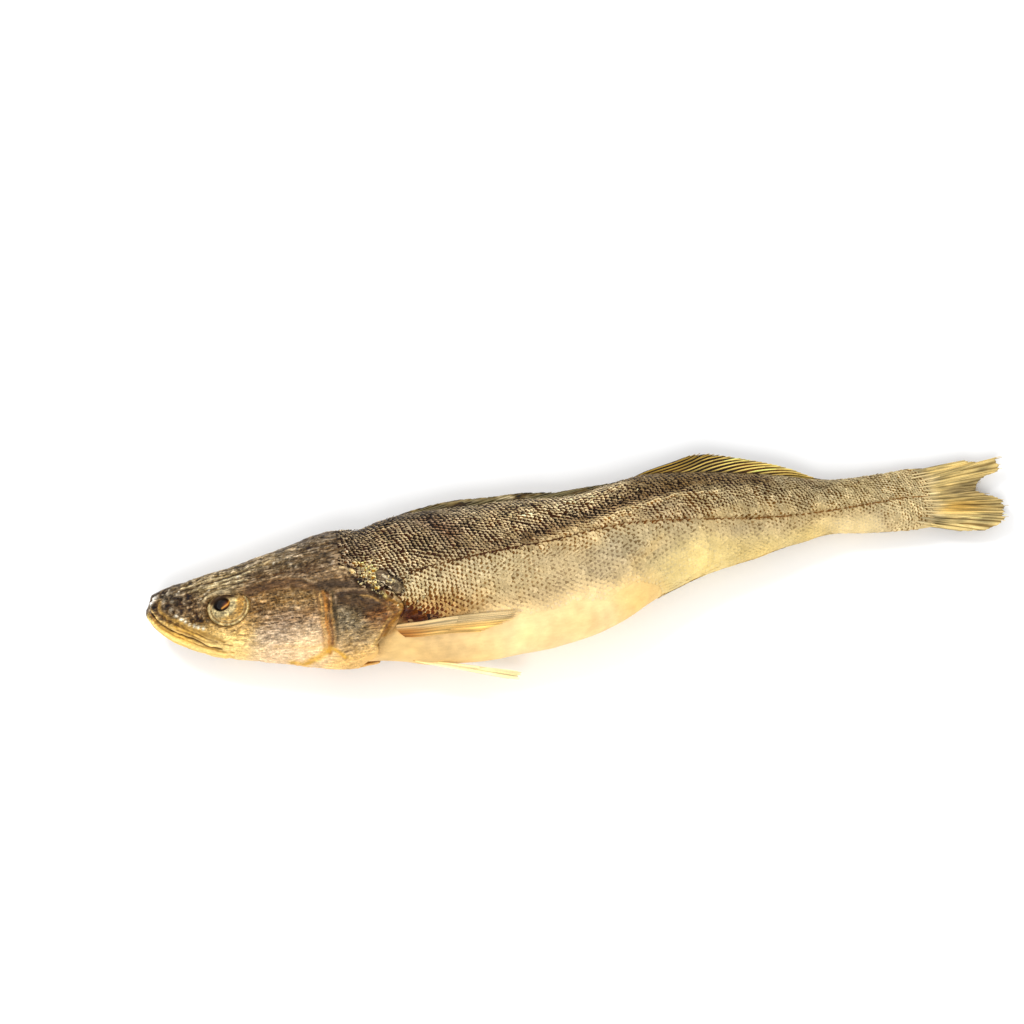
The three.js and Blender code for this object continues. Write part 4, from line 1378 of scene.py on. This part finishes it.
def ray_tree():
    tree = bpy.data.node_groups.new("rods_along_lines", "GeometryNodeTree")
    group_input(tree, "Carrier", "NodeSocketGeometry")
    group_input(tree, "Thickness", "NodeSocketFloat")
    group_input(tree, "Finish", "NodeSocketMaterial")
    tree.interface.new_socket(name="Geometry", in_out="OUTPUT", socket_type="NodeSocketGeometry")
    make, link = tree.nodes.new, tree.links.new
    given = make("NodeGroupInput")
    result = make("NodeGroupOutput")
    lines = make("GeometryNodeMeshToCurve")
    link(given.outputs["Carrier"], lines.inputs["Mesh"])
    radius = make("GeometryNodeInputNamedAttribute")
    radius.inputs["Name"].default_value = "ray_radius"
    thickened = make("ShaderNodeMath")
    thickened.operation = "MULTIPLY"
    link(radius.outputs["Attribute"], thickened.inputs[0])
    link(given.outputs["Thickness"], thickened.inputs[1])
    outline = make("GeometryNodeCurvePrimitiveCircle")
    outline.inputs["Resolution"].default_value = RAY_SIDES
    outline.inputs["Radius"].default_value = 1.0
    rods = make("GeometryNodeCurveToMesh")
    rods.inputs["Fill Caps"].default_value = True
    link(lines.outputs["Curve"], rods.inputs["Curve"])
    link(outline.outputs["Curve"], rods.inputs["Profile Curve"])
    link(thickened.outputs["Value"], rods.inputs["Scale"])
    smooth = make("GeometryNodeSetShadeSmooth")
    link(rods.outputs["Mesh"], smooth.inputs["Geometry"])
    real = make("GeometryNodeRealizeInstances")
    link(smooth.outputs["Geometry"], real.inputs["Geometry"])
    finish = make("GeometryNodeSetMaterial")
    link(real.outputs["Geometry"], finish.inputs["Geometry"])
    link(given.outputs["Finish"], finish.inputs["Material"])
    link(finish.outputs["Geometry"], result.inputs["Geometry"])
    return tree


rods_tree = ray_tree()
print("ray tree has", len(rods_tree.nodes), "nodes")

# %% A carrier for many lines
def lines_mesh(name, lines):
    """One carrier for many lines. Each line is (points, radii in mm, colours 0 to 255)."""
    counts = [len(line[0]) for line in lines]
    starts = np.cumsum([0] + counts[:-1])
    edges = [(start + k, start + k + 1) for start, count in zip(starts, counts) for k in range(count - 1)]
    mesh = bpy.data.meshes.new(name)
    mesh.from_pydata(to_frame(np.vstack([line[0] for line in lines])).tolist(), edges, [])
    store(mesh, "ray_radius", np.concatenate([line[1] for line in lines]) * MM)
    store(mesh, "fin_colour", linear(np.vstack([line[2] for line in lines])))
    return mesh


# %% [markdown]
# ## Finish of the fins
# Dried rays are straw-coloured, horny and half clear, with fine joints across them. The web is
# darker and thinner. Both take their colour from the points.

# %% Finish of rays and webs
def fin_finish(name, grain_size, gloss):
    finish = Finish(name)
    tint = finish.attribute("fin_colour")
    grain = finish.noise(grain_size, 3.0)
    light = 0.74 + grain * 0.52
    colour = finish.blend(tint, finish.grey(light), 1.0, "MULTIPLY")
    roughness = (gloss + grain * 0.3).clamped(0.2, 0.8)
    sockets = {"Base Color": colour, "Roughness": roughness, "Normal": finish.bump(grain, 0.08)}
    for socket, value in sockets.items():
        finish.plug(finish.surface.inputs[socket], value)
    finish.surface.inputs["Specular IOR Level"].default_value = 0.2
    return finish.material


ray_material = fin_finish("dried_fin_rays", 0.5, 0.3)
web_material = fin_finish("dried_fin_web", 0.8, 0.36)


# %% Sheets with two faces
def sheet_object(name, places, thickness, colours, material):
    """A closed thin sheet. places is rows of columns of points in mm, thickness and colours match."""
    rows, columns = places.shape[:2]
    ahead = np.gradient(places, axis=0)
    beside = np.gradient(places, axis=1)
    facing = np.cross(ahead, beside)
    facing /= np.maximum(np.linalg.norm(facing, axis=-1, keepdims=True), 1e-9)
    offset = facing * (np.broadcast_to(thickness, (rows, columns)) / 2)[..., None]
    points = np.vstack([(places - offset).reshape(-1, 3), (places + offset).reshape(-1, 3)])
    near = grid_faces(rows, columns)
    far = grid_faces(rows, columns, first=rows * columns)[:, ::-1]
    number = np.arange(rows * columns).reshape(rows, columns)
    border = np.r_[number[0, :-1], number[:-1, -1], number[-1, :0:-1], number[:0:-1, 0]]
    following = np.roll(border, -1)
    shift = rows * columns
    rim = np.stack([border, following, following + shift, border + shift], -1)[:, ::-1]
    mesh = build_mesh(name, points, np.vstack([near, far, rim]),
                      {"fin_colour": linear(np.vstack([colours.reshape(-1, 3)] * 2))})
    turn_outward(mesh)
    mesh.materials.append(material)
    return add_object(name, mesh)


def turn_outward(mesh):
    shell = bmesh.new()
    shell.from_mesh(mesh)
    bmesh.ops.recalc_face_normals(shell, faces=shell.faces)
    shell.to_mesh(mesh)
    shell.free()


# %% [markdown]
# ## Fans of rays
# One fin is described by a place for every ray number (0 to 1 across the fin) and every distance
# out along it (0 at the root, 1 at the tip). Soft rays split in two on the way out, and their ends
# are broken off unevenly, as on any dried fin that has been handled.

# %% Rays of one fin
def fan_rays(place, rays, radii, paint, splits, random, ragged=0.05, steps=9):
    """Lines for a fin's rays. splits holds the shares out at which a ray divides."""
    lines = []
    step = 1.0 / rays
    stops = [0.0] + list(splits) + [1.0]

    def draw(across, level):
        start, end = stops[level], stops[level + 1]
        children = 1 if level == 0 else 2
        for child in range(children):
            spread = 0.0 if level == 0 else step * 0.5 ** level * (child - 0.5) * 1.05
            last = level == len(stops) - 2
            tear = cloud(np.array([across * 14, 0.5, 0.5]), 1.0, 331, 2)
            torn = ragged * (1.3 * tear + abs(random.normal(0, 1)))
            stop = end if not last else min(end + 0.3 * ragged, end - torn + 0.6 * ragged)
            out = np.linspace(start, stop, max(3, int(steps * (stop - start)) + 2))
            drift = across + spread * ease(start, end, out) + random.normal(0, 0.06) * step * (out - start)
            radius = mix(radii[0], radii[1], out ** 0.8) * 0.82 ** level * mix(0.55, 1.0, ease(0, 0.1, out))
            if last:
                radius = radius * np.where(out > stop - 0.001, 0.5, 1.0)
            tone = 1 + random.normal(0, 0.12) + 0.12 * cloud(place(drift, out), 5, 341, 2)[:, None]
            lines.append((place(drift, out), radius, np.clip(paint(drift, out) * tone, 5, 252)))
            if not last:
                draw(float(drift[-1]), level + 1)

    for ray in range(rays):
        draw((ray + 0.5) * step, 0)
    return lines


def web_sheet(name, place, columns, rows, thickness, paint, random, ragged, material):
    across = np.linspace(0, 1, columns)
    # the torn edge: a few neighbouring strands break off at about the same place
    torn = np.interp(across, np.linspace(0, 1, 61), np.abs(random.normal(0, 1.2, 61)))
    reach = 1 - 0.01 - ragged * (torn + 0.5 * np.abs(random.normal(0, 1, columns)))
    out = reach[None, :] * np.linspace(0, 1, rows)[:, None]
    wide = np.broadcast_to(across, out.shape)
    places = place(wide.ravel(), out.ravel()).reshape(rows, columns, 3)
    colours = paint(wide.ravel(), out.ravel()).reshape(rows, columns, 3)
    return sheet_object(name, places, thickness, np.clip(colours, 5, 252), material)


fin_random = np.random.default_rng(21)
fin_pieces = []


def add_rays(name, lines):
    piece = grow(name, lines_mesh(name, lines), rods_tree, Thickness=1.0, Finish=ray_material)
    fin_pieces.append(piece)


# %% [markdown]
# ## The tail fin
# Sixteen main rays fan out of the tail stalk, each splitting in two. The fin is torn: a deep notch
# splits it in two lobes and the upper lobe's tip is broken into a long finger.

# %% Outline of the tail fin
# share of the fin from the top, and the tip's distance from the snout and height
TAIL_TIPS = [
    (0.0, 388, 24.4), (0.06, 391, 23.2), (0.12, 398, 22.6), (0.18, 404.6, 23.8), (0.26, 404.8, 18.6),
    (0.34, 397, 15.6), (0.42, 391.5, 11.6), (0.5, 391, 9), (0.56, 397, 6), (0.64, 401.6, 2.6),
    (0.72, 403, -1.5), (0.8, 402, -5.4), (0.88, 399.6, -8.6), (0.93, 391, -11.2), (1.0, 380, -10),
]
tail_tip_x = curve_through([(tip[0], tip[1]) for tip in TAIL_TIPS])
tail_tip_y = curve_through([(tip[0], tip[2]) for tip in TAIL_TIPS])
# the height of the tail fin's plane
TAIL_LEVEL = 9.1
print("the notch of the tail reaches to", tail_tip_x(0.45).round(1), "mm from the snout")


def tail_place(across, out, lift=0.0):
    root_x = 359 + 6 * np.sin(np.pi * np.clip(across, 0, 1)) + 1.6 * np.sin(across * 31)
    root_y = mix(21.8, -4.6, across)
    x = mix(root_x, tail_tip_x(across), out)
    y = mix(root_y, tail_tip_y(across), out)
    wave = 0.6 * np.sin(across * 40) * out + 0.9 * np.sin(across * 9 + 1) * out
    # the rays start on top of the scaly root, and only then drop to the fin's own plane
    on_root = half(np.minimum(x, BODY_LENGTH)) * (lift > 0) * (1 - ease(366, 374, x))
    z = TAIL_LEVEL + on_root - 2.0 * out * out + wave + lift
    return np.stack([x, y, z], -1)


# %% Colour of the tail fin
def tail_paint(across, out):
    base = np.array([220, 192, 122.0])
    colour = np.repeat(base[None], len(out), 0)
    low = ease(0.55, 0.75, across)[:, None]
    colour = mix(colour, np.array([234, 206, 136.0]), low)
    gold = (bell((across - 0.70) / 0.09) * bell((out - 0.45) / 0.3))[:, None]
    colour = mix(colour, np.array([206, 154, 58.0]), 0.7 * gold)
    dusk = (bell((across - 0.48) / 0.1) * ease(0.1, 0.6, out))[:, None]
    colour = mix(colour, np.array([150, 128, 84.0]), 0.8 * dusk)
    root = (1 - ease(0.1, 0.32, out))[:, None]
    return mix(colour, np.array([226, 206, 160.0]), 0.7 * root)


# %% The tail's web
STRANDS = 32


def strand_wave(across, out):
    """From -1 in a groove to 1 on a strand. The strands wander a little on their way out."""
    wander = 0.12 * cloud(np.stack([across * 30, out * 3, 0 * out], -1), 1.0, 351, 2)
    return -np.cos(2 * math.pi * (across * STRANDS + wander))


def tail_web_place(across, out):
    spot = tail_place(across, out)
    spot[:, 2] += 0.3 * strand_wave(across, out) * ease(0.0, 0.15, out)
    return spot


def tail_web_paint(across, out):
    blotch = cloud(np.stack([across * 16, out * 4, 0 * out], -1), 1.0, 321, 2)[:, None]
    streak = cloud(np.stack([across * 60, out * 5, 0 * out], -1), 1.0, 361, 2)[:, None]
    strand = tail_paint(across, out) * (0.9 + 0.2 * blotch + 0.16 * streak)
    groove = strand * np.array([0.42, 0.33, 0.16])
    # the grooves are shallow near the tips and in the upper lobe
    depth = mix(1.0, 0.6, ease(0.3, 0.8, out)) * mix(0.66, 1.0, ease(0.35, 0.6, across))
    depth = depth[:, None]
    share = ease(-0.7, 0.5, strand_wave(across, out))[:, None]
    return mix(groove, strand, 1 - depth * (1 - share))


# %% Build the tail fin
def tail_ray_place(across, out):
    return tail_place(across, out, 0.3)


add_rays("tail_rays", fan_rays(
    tail_ray_place, 16, (0.44, 0.22), tail_paint, (0.26,), fin_random, 0.06))
fin_pieces.append(web_sheet(
    "tail_web", tail_web_place, 7 * STRANDS, 44, 0.5, tail_web_paint, fin_random, 0.03, web_material))
print("tail web:", len(fin_pieces[-1].data.polygons), "faces")

# %% [markdown]
# ## The fins on the back
# The front one has sharp spines. It has folded down flat along the ridge, so only a thin grey-olive
# strip shows. The rear one has soft rays and stands half up, leaning far back.

# %% Folded spiny fin
def spiny_height(along):
    return 4.0 * ease(112, 140, along) * (1 - 0.75 * ease(196, 224, along))


def spiny_place(across, out):
    along = mix(111.0, 226.0, across)
    crest = back(along) + spiny_height(along) * (1 + 0.05 * np.sin(across * 24))
    y = mix(back(along) - 2.2, crest, out)
    z = middle(along) + 1.2 * (1 - out) * np.sin(across * 25)
    return np.stack([along, y, z], -1)


def spiny_paint(across, out):
    streak = cloud(np.stack([across * 28, out * 5, 0 * out], -1), 1.0, 301, 2)[:, None]
    colour = np.array([94, 73, 28.0]) + streak * 126
    return mix(colour, np.array([34, 22, 8.0]), 0.92 * (1 - ease(0.4, 0.62, out))[:, None])


fold_thickness = np.linspace(2.2, 0.5, 8)[:, None]
fin_pieces.append(web_sheet(
    "spiny_fin_web", spiny_place, 150, 8, fold_thickness, spiny_paint, fin_random, 0.03, web_material))


def spine_lines():
    lines = []
    for number in range(13):
        start = 112.0 + 6.6 * number
        out = np.linspace(0, 1, 8)
        along = start + 27 * out
        y = mix(back(start) - 1.4, back(along[-1]) + 0.86 * spiny_height(along[-1]), out)
        y = np.minimum(y, back(along) + spiny_height(along) * 0.95)
        z = middle(along) + 0.9 - 0.5 * out
        radius = mix(0.62, 0.2, out)
        tone = 1 + fin_random.normal(0, 0.1)
        colours = np.repeat(np.array([[128, 116, 80.0]]) * tone, 8, 0)
        lines.append((np.stack([along, y, z], -1), radius, colours))
    return lines


add_rays("spiny_fin_rays", spine_lines())

# %% Soft fin
# distance from the snout, and how far the fin stands over the back there
soft_height = curve_through([
    (226, 7.6), (240, 7.8), (249, 8.0), (258, 8.8), (266, 10.3), (276, 9.4), (288, 7.2), (302, 4.3),
    (316, 1.0), (328, 0.2),
])


def soft_place(across, out, lift=0.0):
    root = mix(220.0, 300.0, across)
    along = root + mix(38, 27, across) * out
    y = back(along) + mix(-2.4, soft_height(along), out)
    z = middle(along) + lift + 1.4 * out * np.sin(3 + across * 7)
    return np.stack([along, y, z], -1)


def soft_paint(across, out):
    gold = np.array([226, 196, 106.0])
    dark = np.array([158, 124, 48.0])
    share = (0.75 * (1 - ease(0.12, 0.38, across)) + 0.55 * ease(0.72, 0.95, across))[:, None]
    colour = mix(np.repeat(gold[None], len(out), 0), dark, share)
    return mix(colour, np.array([92, 66, 34.0]), 0.8 * (1 - ease(0.12, 0.36, out))[:, None])


def soft_web_paint(across, out):
    blotch = cloud(np.stack([across * 9, out * 3, 0 * out], -1), 1.0, 311, 2)[:, None]
    return soft_paint(across, out) * np.array([0.26, 0.18, 0.06]) * (1 + 0.6 * blotch)


def soft_ray_place(across, out):
    return soft_place(across, out, 0.2)


add_rays("soft_fin_rays", fan_rays(
    soft_ray_place, 15, (0.5, 0.3), soft_paint, (0.72,), fin_random, 0.03))
fin_pieces.append(web_sheet(
    "soft_fin_web", soft_place, 90, 12, 0.5, soft_web_paint, fin_random, 0.02, web_material))

# %% [markdown]
# ## The paired fins
# The breast fin lies folded along the flank behind the gill cover, its rays close together, pale
# above and golden below. The near pelvic fin hangs a little clear of the belly as a narrow blade.
# Their partners and the vent fin lie on the side that faces the table.

# %% Places on a folded fin and on a hanging one
def folded_place(root, tip, side, lift, bow=0.0, rounding=0.0):
    def place(across, out, extra=0.0):
        along = mix(mix(root[0][0], root[1][0], across), mix(tip[0][0], tip[1][0], across), out)
        along = along + rounding * np.sin(np.pi * across) * mix(-0.25, 1.0, out)
        angle = mix(mix(root[0][1], root[1][1], across), mix(tip[0][1], tip[1][1], across), out)
        bowed = angle + bow * np.sin(np.pi * np.clip(out, 0, 1)) * (1 - 0.5 * across)
        return skin(along, bowed, side, lift * np.sqrt(np.clip(out, 0, 1)) + 0.5 + extra)
    return place


def blade_place(root, tip):
    root, tip = np.array(root, float), np.array(tip, float)

    def place(across, out, extra=0.0):
        across, out = np.asarray(across)[:, None], np.asarray(out)[:, None]
        spot = mix(mix(root[0], root[1], across), mix(tip[0], tip[1], across), out)
        return spot + np.array([0, 0, 1.0]) * (extra + 0.5 * np.sin(across * 9) * out)
    return place


# %% Colours of the lower fins
def breast_paint(across, out):
    pale, gold = np.array([210, 184, 134.0]), np.array([228, 184, 106.0])
    colour = mix(pale, gold, ease(0.3, 0.6, across)[:, None])
    streak = cloud(np.stack([across * 26, out * 4, 0 * out], -1), 1.0, 371, 2)[:, None]
    colour = colour * (1 + 0.16 * streak)
    stain = (1 - ease(0.02, 0.45, out))[:, None] * mix(0.3, 1.0, ease(0.15, 0.6, across))[:, None]
    return mix(colour, np.array([136, 80, 24.0]), 0.85 * stain)


def pelvic_paint(across, out):
    colour = np.repeat(np.array([[244, 222, 166.0]]), len(out), 0)
    return mix(colour, np.array([226, 170, 92.0]), 0.5 * (1 - ease(0, 0.3, out))[:, None])


# %% One fin from its place and its paint
# how far the rays stand over the middle of the web
RAY_LIFT = 0.25


def add_fin(name, place, rays, radii, paint, web_top, web_low):
    """web_top and web_low tint the web between the upper and the lower rays."""
    def ray_place(across, out):
        return place(across, out, RAY_LIFT)

    def web_place(across, out):
        return press_flat(place(across, out))

    def web_paint(across, out):
        return paint(across, out) * mix(web_top, web_low, ease(0.3, 0.7, across)[:, None])

    lines = fan_rays(ray_place, rays, radii, paint, (0.5,), fin_random, 0.05)
    lines = [(press_flat(points), radius, colours) for points, radius, colours in lines]
    add_rays(name + "_rays", lines)
    fin_pieces.append(web_sheet(
        name + "_web", web_place, 4 * rays, 14, 0.4, web_paint, fin_random, 0.03, web_material))


# %% Breast fins
# upper and lower corner, each as the distance from the snout and the angle round the body
BREAST_ROOT = [(112.5, -39), (116, -50)]
BREAST_TIP = [(169, -35), (150, -46.5)]
BREAST_BOW = 4.5
BREAST_ROUNDING = 4.5
BREAST_RADII = (0.34, 0.12)
breast_web = (np.array([0.72, 0.65, 0.5]), np.array([0.93, 0.88, 0.76]))
for fin_name, side, lift in (("breast_fin", 1, 1.3), ("far_breast_fin", -1, 1.0)):
    place = folded_place(BREAST_ROOT, BREAST_TIP, side, lift, BREAST_BOW, BREAST_ROUNDING)
    add_fin(fin_name, place, 19, BREAST_RADII, breast_paint, *breast_web)

# %% Pelvic fins and vent fin
pelvic_web = np.array([0.9, 0.86, 0.76])
hanging_blade = blade_place(
    [(118, -41, 21), (130, -43.6, 21.5)], [(163.5, -55.6, 18), (165.8, -52.2, 18.5)])
add_fin("pelvic_fin", hanging_blade, 6, (0.6, 0.34), pelvic_paint, pelvic_web, pelvic_web)
lying_blade = folded_place([(119, -66), (124, -56)], [(163, -60), (160, -46)], -1, 1.0)
add_fin("far_pelvic_fin", lying_blade, 6, (0.55, 0.3), pelvic_paint, pelvic_web, pelvic_web)

vent_web = np.array([0.86, 0.8, 0.66])
vent_place = folded_place([(224, -62), (254, -62)], [(252, -30), (272, -40)], -1, 0.8)
add_fin("vent_fin", vent_place, 11, (0.45, 0.25), pelvic_paint, vent_web, vent_web)
print(len(fin_pieces), "pieces make up the fins")

# %% [markdown]
# ## The eyes
# A dried eye sinks and clouds. What shows is a ring of stiff clear skin, tan and gold, creased
# where it shrank, and a dark pupil set forward and high, with the brow's shadow painted over its top
# and a painted glint in the pupil. It is painted in place on a fine round net that follows the head,
# rather than built as a ball, because nothing round is left of it.

# %% Shape and colour of the eye
PUPIL_PLACE = (35.5, -5.4)
PUPIL_REACH = 3.5
PUPIL_LONG = 1.15


def on_flat_line(along, across, places):
    path = np.array([(x, y, 0) for x, y in places], float)
    return near_line(np.stack([along, across, 0 * along], -1), path)


def eye_shape(along, across):
    """Height in mm above the floor of the socket, and colour, at places on the eye."""
    place = np.stack([along, across, 0 * along], -1)
    gap = eye_gap(along, across)
    pupil = np.hypot((along - PUPIL_PLACE[0]) / PUPIL_LONG, across - PUPIL_PLACE[1])
    turn = np.arctan2(across - EYE_PLACE[1], along - EYE_PLACE[0])
    height = 0.55 * bell((gap - 9.0) / 0.55) + 0.35 * bell((gap - 7.5) / 0.4) * (np.sin(turn) < 0.3)
    sunk = 1 - ease(PUPIL_REACH - 1.4, PUPIL_REACH + 0.2, pupil)
    height += 0.5 * bell((pupil - PUPIL_REACH - 0.7) / 0.7) - 1.5 * sunk
    height += 0.22 * (crease(place, (2.2, 1.2, 1), 401) - 0.4) * ease(PUPIL_REACH, PUPIL_REACH + 1, pupil)
    # from the rim inwards
    cream, tan, gold = np.array([224, 200, 142.0]), np.array([200, 158, 88.0]), np.array([196, 142, 62.0])
    colour = np.repeat(tan[None], len(along), 0)
    upper = ease(-4.2, -1.6, across)[:, None]
    colour = mix(colour, cream, (1 - ease(5.4, 7.2, pupil))[:, None])
    right = ease(41.0, 44.0, along)[:, None]
    colour = mix(colour, gold, 0.75 * right * (ease(-15, -10, across))[:, None])
    colour = mix(colour, np.array([132, 92, 42.0]), 0.6 * bell((gap - 8.1) / 0.5)[:, None])
    colour = mix(colour, np.array([246, 222, 160.0]), 0.85 * bell((gap - 9.0) / 0.5)[:, None])
    inner_ring = bell((gap - 7.5) / 0.4) * (np.sin(turn) < 0.2)
    colour = mix(colour, np.array([240, 214, 150.0]), (0.6 * inner_ring)[:, None])
    # a crease that divides the golden corner from the rest
    corner = on_flat_line(along, across, [(44.6, -1.2), (43.2, -3.4), (41.4, -5.2)])
    colour = mix(colour, np.array([250, 224, 160.0]), 0.8 * bell(corner / 0.35)[:, None])
    height += 0.3 * bell(corner / 0.4)
    # painted shade: the top of the eye darkens under the overhanging brow
    colour = mix(colour, np.array([92, 66, 34.0]), 0.6 * upper)
    wrinkle = crease(place, (2.0, 1.0, 1), 411)[:, None]
    fleck = cloud(place, 0.9, 421, 2)[:, None]
    colour = colour * (0.72 + 0.34 * wrinkle + 0.26 * fleck)
    # the pupil
    black, brown = np.array([10, 5, 2.0]), np.array([120, 50, 12.0])
    # painted shade on the upper rim of the pupil
    ring = bell((pupil - PUPIL_REACH - 0.5) / 0.5)[:, None]
    colour = mix(colour, np.array([96, 66, 30.0]), 0.5 * ring * ease(0, 2.0, across + 5.4)[:, None])
    inside = (1 - ease(PUPIL_REACH - 0.5, PUPIL_REACH + 0.2, pupil))[:, None]
    heart = bell(np.hypot((along - 37.8) / 2.2, (across + 5.6) / 1.8))[:, None]
    colour = mix(colour, mix(black, brown, 0.85 * heart), inside)
    # painted shadow of the overhanging brow, a dark band over the top of the pupil
    lid = on_flat_line(along, across, [(31.0, -4.4), (33.2, -2.4), (37.0, -1.7), (41.0, -2.4)])
    colour = mix(colour, np.array([44, 26, 8.0]), 0.9 * bell(lid / 0.9)[:, None])
    # painted highlight: a gold glint at the lower right of the pupil
    streak = on_flat_line(along, across, [(35.2, -7.0), (37.0, -6.0), (39.0, -4.9)])
    colour = mix(colour, np.array([232, 162, 62.0]), 0.9 * bell(streak / 0.55)[:, None])
    return height, np.clip(colour, 4, 252)


# %% The eye's net
EYE_RINGS = 40
EYE_SPOKES = 84


def eye_mesh(name, side):
    reach = np.linspace(0.15, EYE_REACH + 0.5, EYE_RINGS)
    turn = np.linspace(0, 2 * math.pi, EYE_SPOKES, endpoint=False)
    reach, turn = (grid.ravel() for grid in np.meshgrid(reach, turn, indexing="ij"))
    along = EYE_PLACE[0] + reach * np.cos(turn)
    across = EYE_PLACE[1] + EYE_TALL * reach * np.sin(turn)
    angle = angle_at(along, across)
    facing, _ = skin_axes(along, angle, side)
    height, colour = eye_shape(along, across)
    dish = -1.5 + 0.9 * (1 - (reach / EYE_REACH) ** 2)
    tuck = -1.6 * ease(EYE_REACH - 0.4, EYE_REACH + 0.5, reach)
    spots = skin(along, angle, side) + facing * (dish + height + tuck)[:, None]
    deep = skin(along, angle, side) + facing * -4.5
    centre = [spots[:EYE_SPOKES].mean(0), deep.mean(0)]
    points = np.vstack([spots, deep[-EYE_SPOKES:], centre])
    faces = [list(face) for face in grid_faces(EYE_RINGS + 1, EYE_SPOKES, closed=True)]
    top, bottom = len(points) - 2, len(points) - 1
    for k in range(EYE_SPOKES):
        following = (k + 1) % EYE_SPOKES
        faces.append([top, following, k])
        faces.append([bottom, EYE_RINGS * EYE_SPOKES + k, EYE_RINGS * EYE_SPOKES + following])
    filler = np.repeat(colour[-1:], EYE_SPOKES, 0)
    tints = np.vstack([colour, filler, colour[:1], filler[:1]])
    mesh = build_mesh(name, press_flat(points), faces, {"eye_colour": linear(tints)})
    turn_outward(mesh)
    return mesh


# %% Finish of the eyes
def eye_finish():
    finish = Finish("dried_eye")
    tint = finish.attribute("eye_colour")
    grain = finish.noise(0.5, 2.0)
    colour = finish.blend(tint, finish.grey(0.86 + grain * 0.28), 1.0, "MULTIPLY")
    finish.plug(finish.surface.inputs["Base Color"], colour)
    finish.plug(finish.surface.inputs["Roughness"], (0.26 + grain * 0.2).clamped(0.08, 0.6))
    finish.plug(finish.surface.inputs["Normal"], finish.bump(grain, 0.05))
    finish.surface.inputs["Specular IOR Level"].default_value = 0.14
    return finish.material


eye_material = eye_finish()
print("eye finish has", len(eye_material.node_tree.nodes), "nodes")

# %% Build both eyes
eye_pieces = []
for eye_name, eye_side in (("left_eye", 1), ("right_eye", -1)):
    mesh = eye_mesh(eye_name, eye_side)
    mesh.materials.append(eye_material)
    eye_pieces.append(add_object(eye_name, mesh))
print("eyes:", len(eye_pieces[0].data.polygons), "faces each")

# %% [markdown]
# ## Table, light and camera
# A plain near-white table and soft light from a large lamp in front and above, as in a product
# shot. A smaller lamp gives the glints. The camera looks down steeply on the left flank.

# %% Table
# the table lies this many metres under the fish, so that the two never share a surface
TABLE_DROP = 0.0004


def table():
    mesh = bpy.data.meshes.new("table")
    reach = 6.0
    corners = [(-reach, -reach, 0), (reach, -reach, 0), (reach, reach, 0), (-reach, reach, 0)]
    mesh.from_pydata(corners, [], [(0, 1, 2, 3)])
    finish = Finish("table_white")
    finish.surface.inputs["Base Color"].default_value = (0.96, 0.96, 0.96, 1)
    finish.surface.inputs["Roughness"].default_value = 0.9
    mesh.materials.append(finish.material)
    thing = add_object("table", mesh)
    thing.location.z = -TABLE_DROP


table()


# %% Lights
def lamp(name, place, aim, size, power):
    light = bpy.data.lights.new(name, "AREA")
    light.shape = "SQUARE"
    light.size = size
    light.energy = power
    thing = bpy.data.objects.new(name, light)
    thing.location = place
    toward = Vector(aim) - Vector(place)
    thing.rotation_euler = toward.to_track_quat("-Z", "Y").to_euler()
    bpy.context.scene.collection.objects.link(thing)


lamp("soft_light", (-0.3, -0.85, 1.1), (0.0, 0.0, 0.0), 0.6, 9.5)
lamp("glint_light", (-0.5, 0.45, 0.9), (-0.1, 0.0, 0.0), 0.2, 3.0)

world = bpy.data.worlds.new("studio")
world.use_nodes = True
world.node_tree.nodes["Background"].inputs["Color"].default_value = (1, 1, 1, 1)
world.node_tree.nodes["Background"].inputs["Strength"].default_value = 0.78
bpy.context.scene.world = world
bpy.context.scene.view_settings.view_transform = "Standard"

# %% Camera
CAMERA_AIM = Vector((-0.0299, 0.0309, 0.020))
CAMERA_GAP = 1.118
CAMERA_TURN = math.radians(-8)
CAMERA_CLIMB = math.radians(70)
backward = Vector((
    math.sin(CAMERA_TURN) * math.cos(CAMERA_CLIMB),
    -math.cos(CAMERA_TURN) * math.cos(CAMERA_CLIMB),
    math.sin(CAMERA_CLIMB),
))
camera_data = bpy.data.cameras.new("camera")
camera_data.lens = 85
camera_data.sensor_width = 36
camera = bpy.data.objects.new("camera", camera_data)
camera.location = CAMERA_AIM + CAMERA_GAP * backward
camera.rotation_euler = (-backward).to_track_quat("-Z", "Y").to_euler()
bpy.context.scene.collection.objects.link(camera)
bpy.context.scene.camera = camera
print("camera at", [round(v, 3) for v in camera.location])

# %% Hand the pieces to the frame
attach(skin_piece, "root")
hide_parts("zander")
for slot, pieces in (("skin", scale_pieces), ("fins", fin_pieces), ("eye", eye_pieces)):
    for piece in pieces:
        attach(piece, "root")
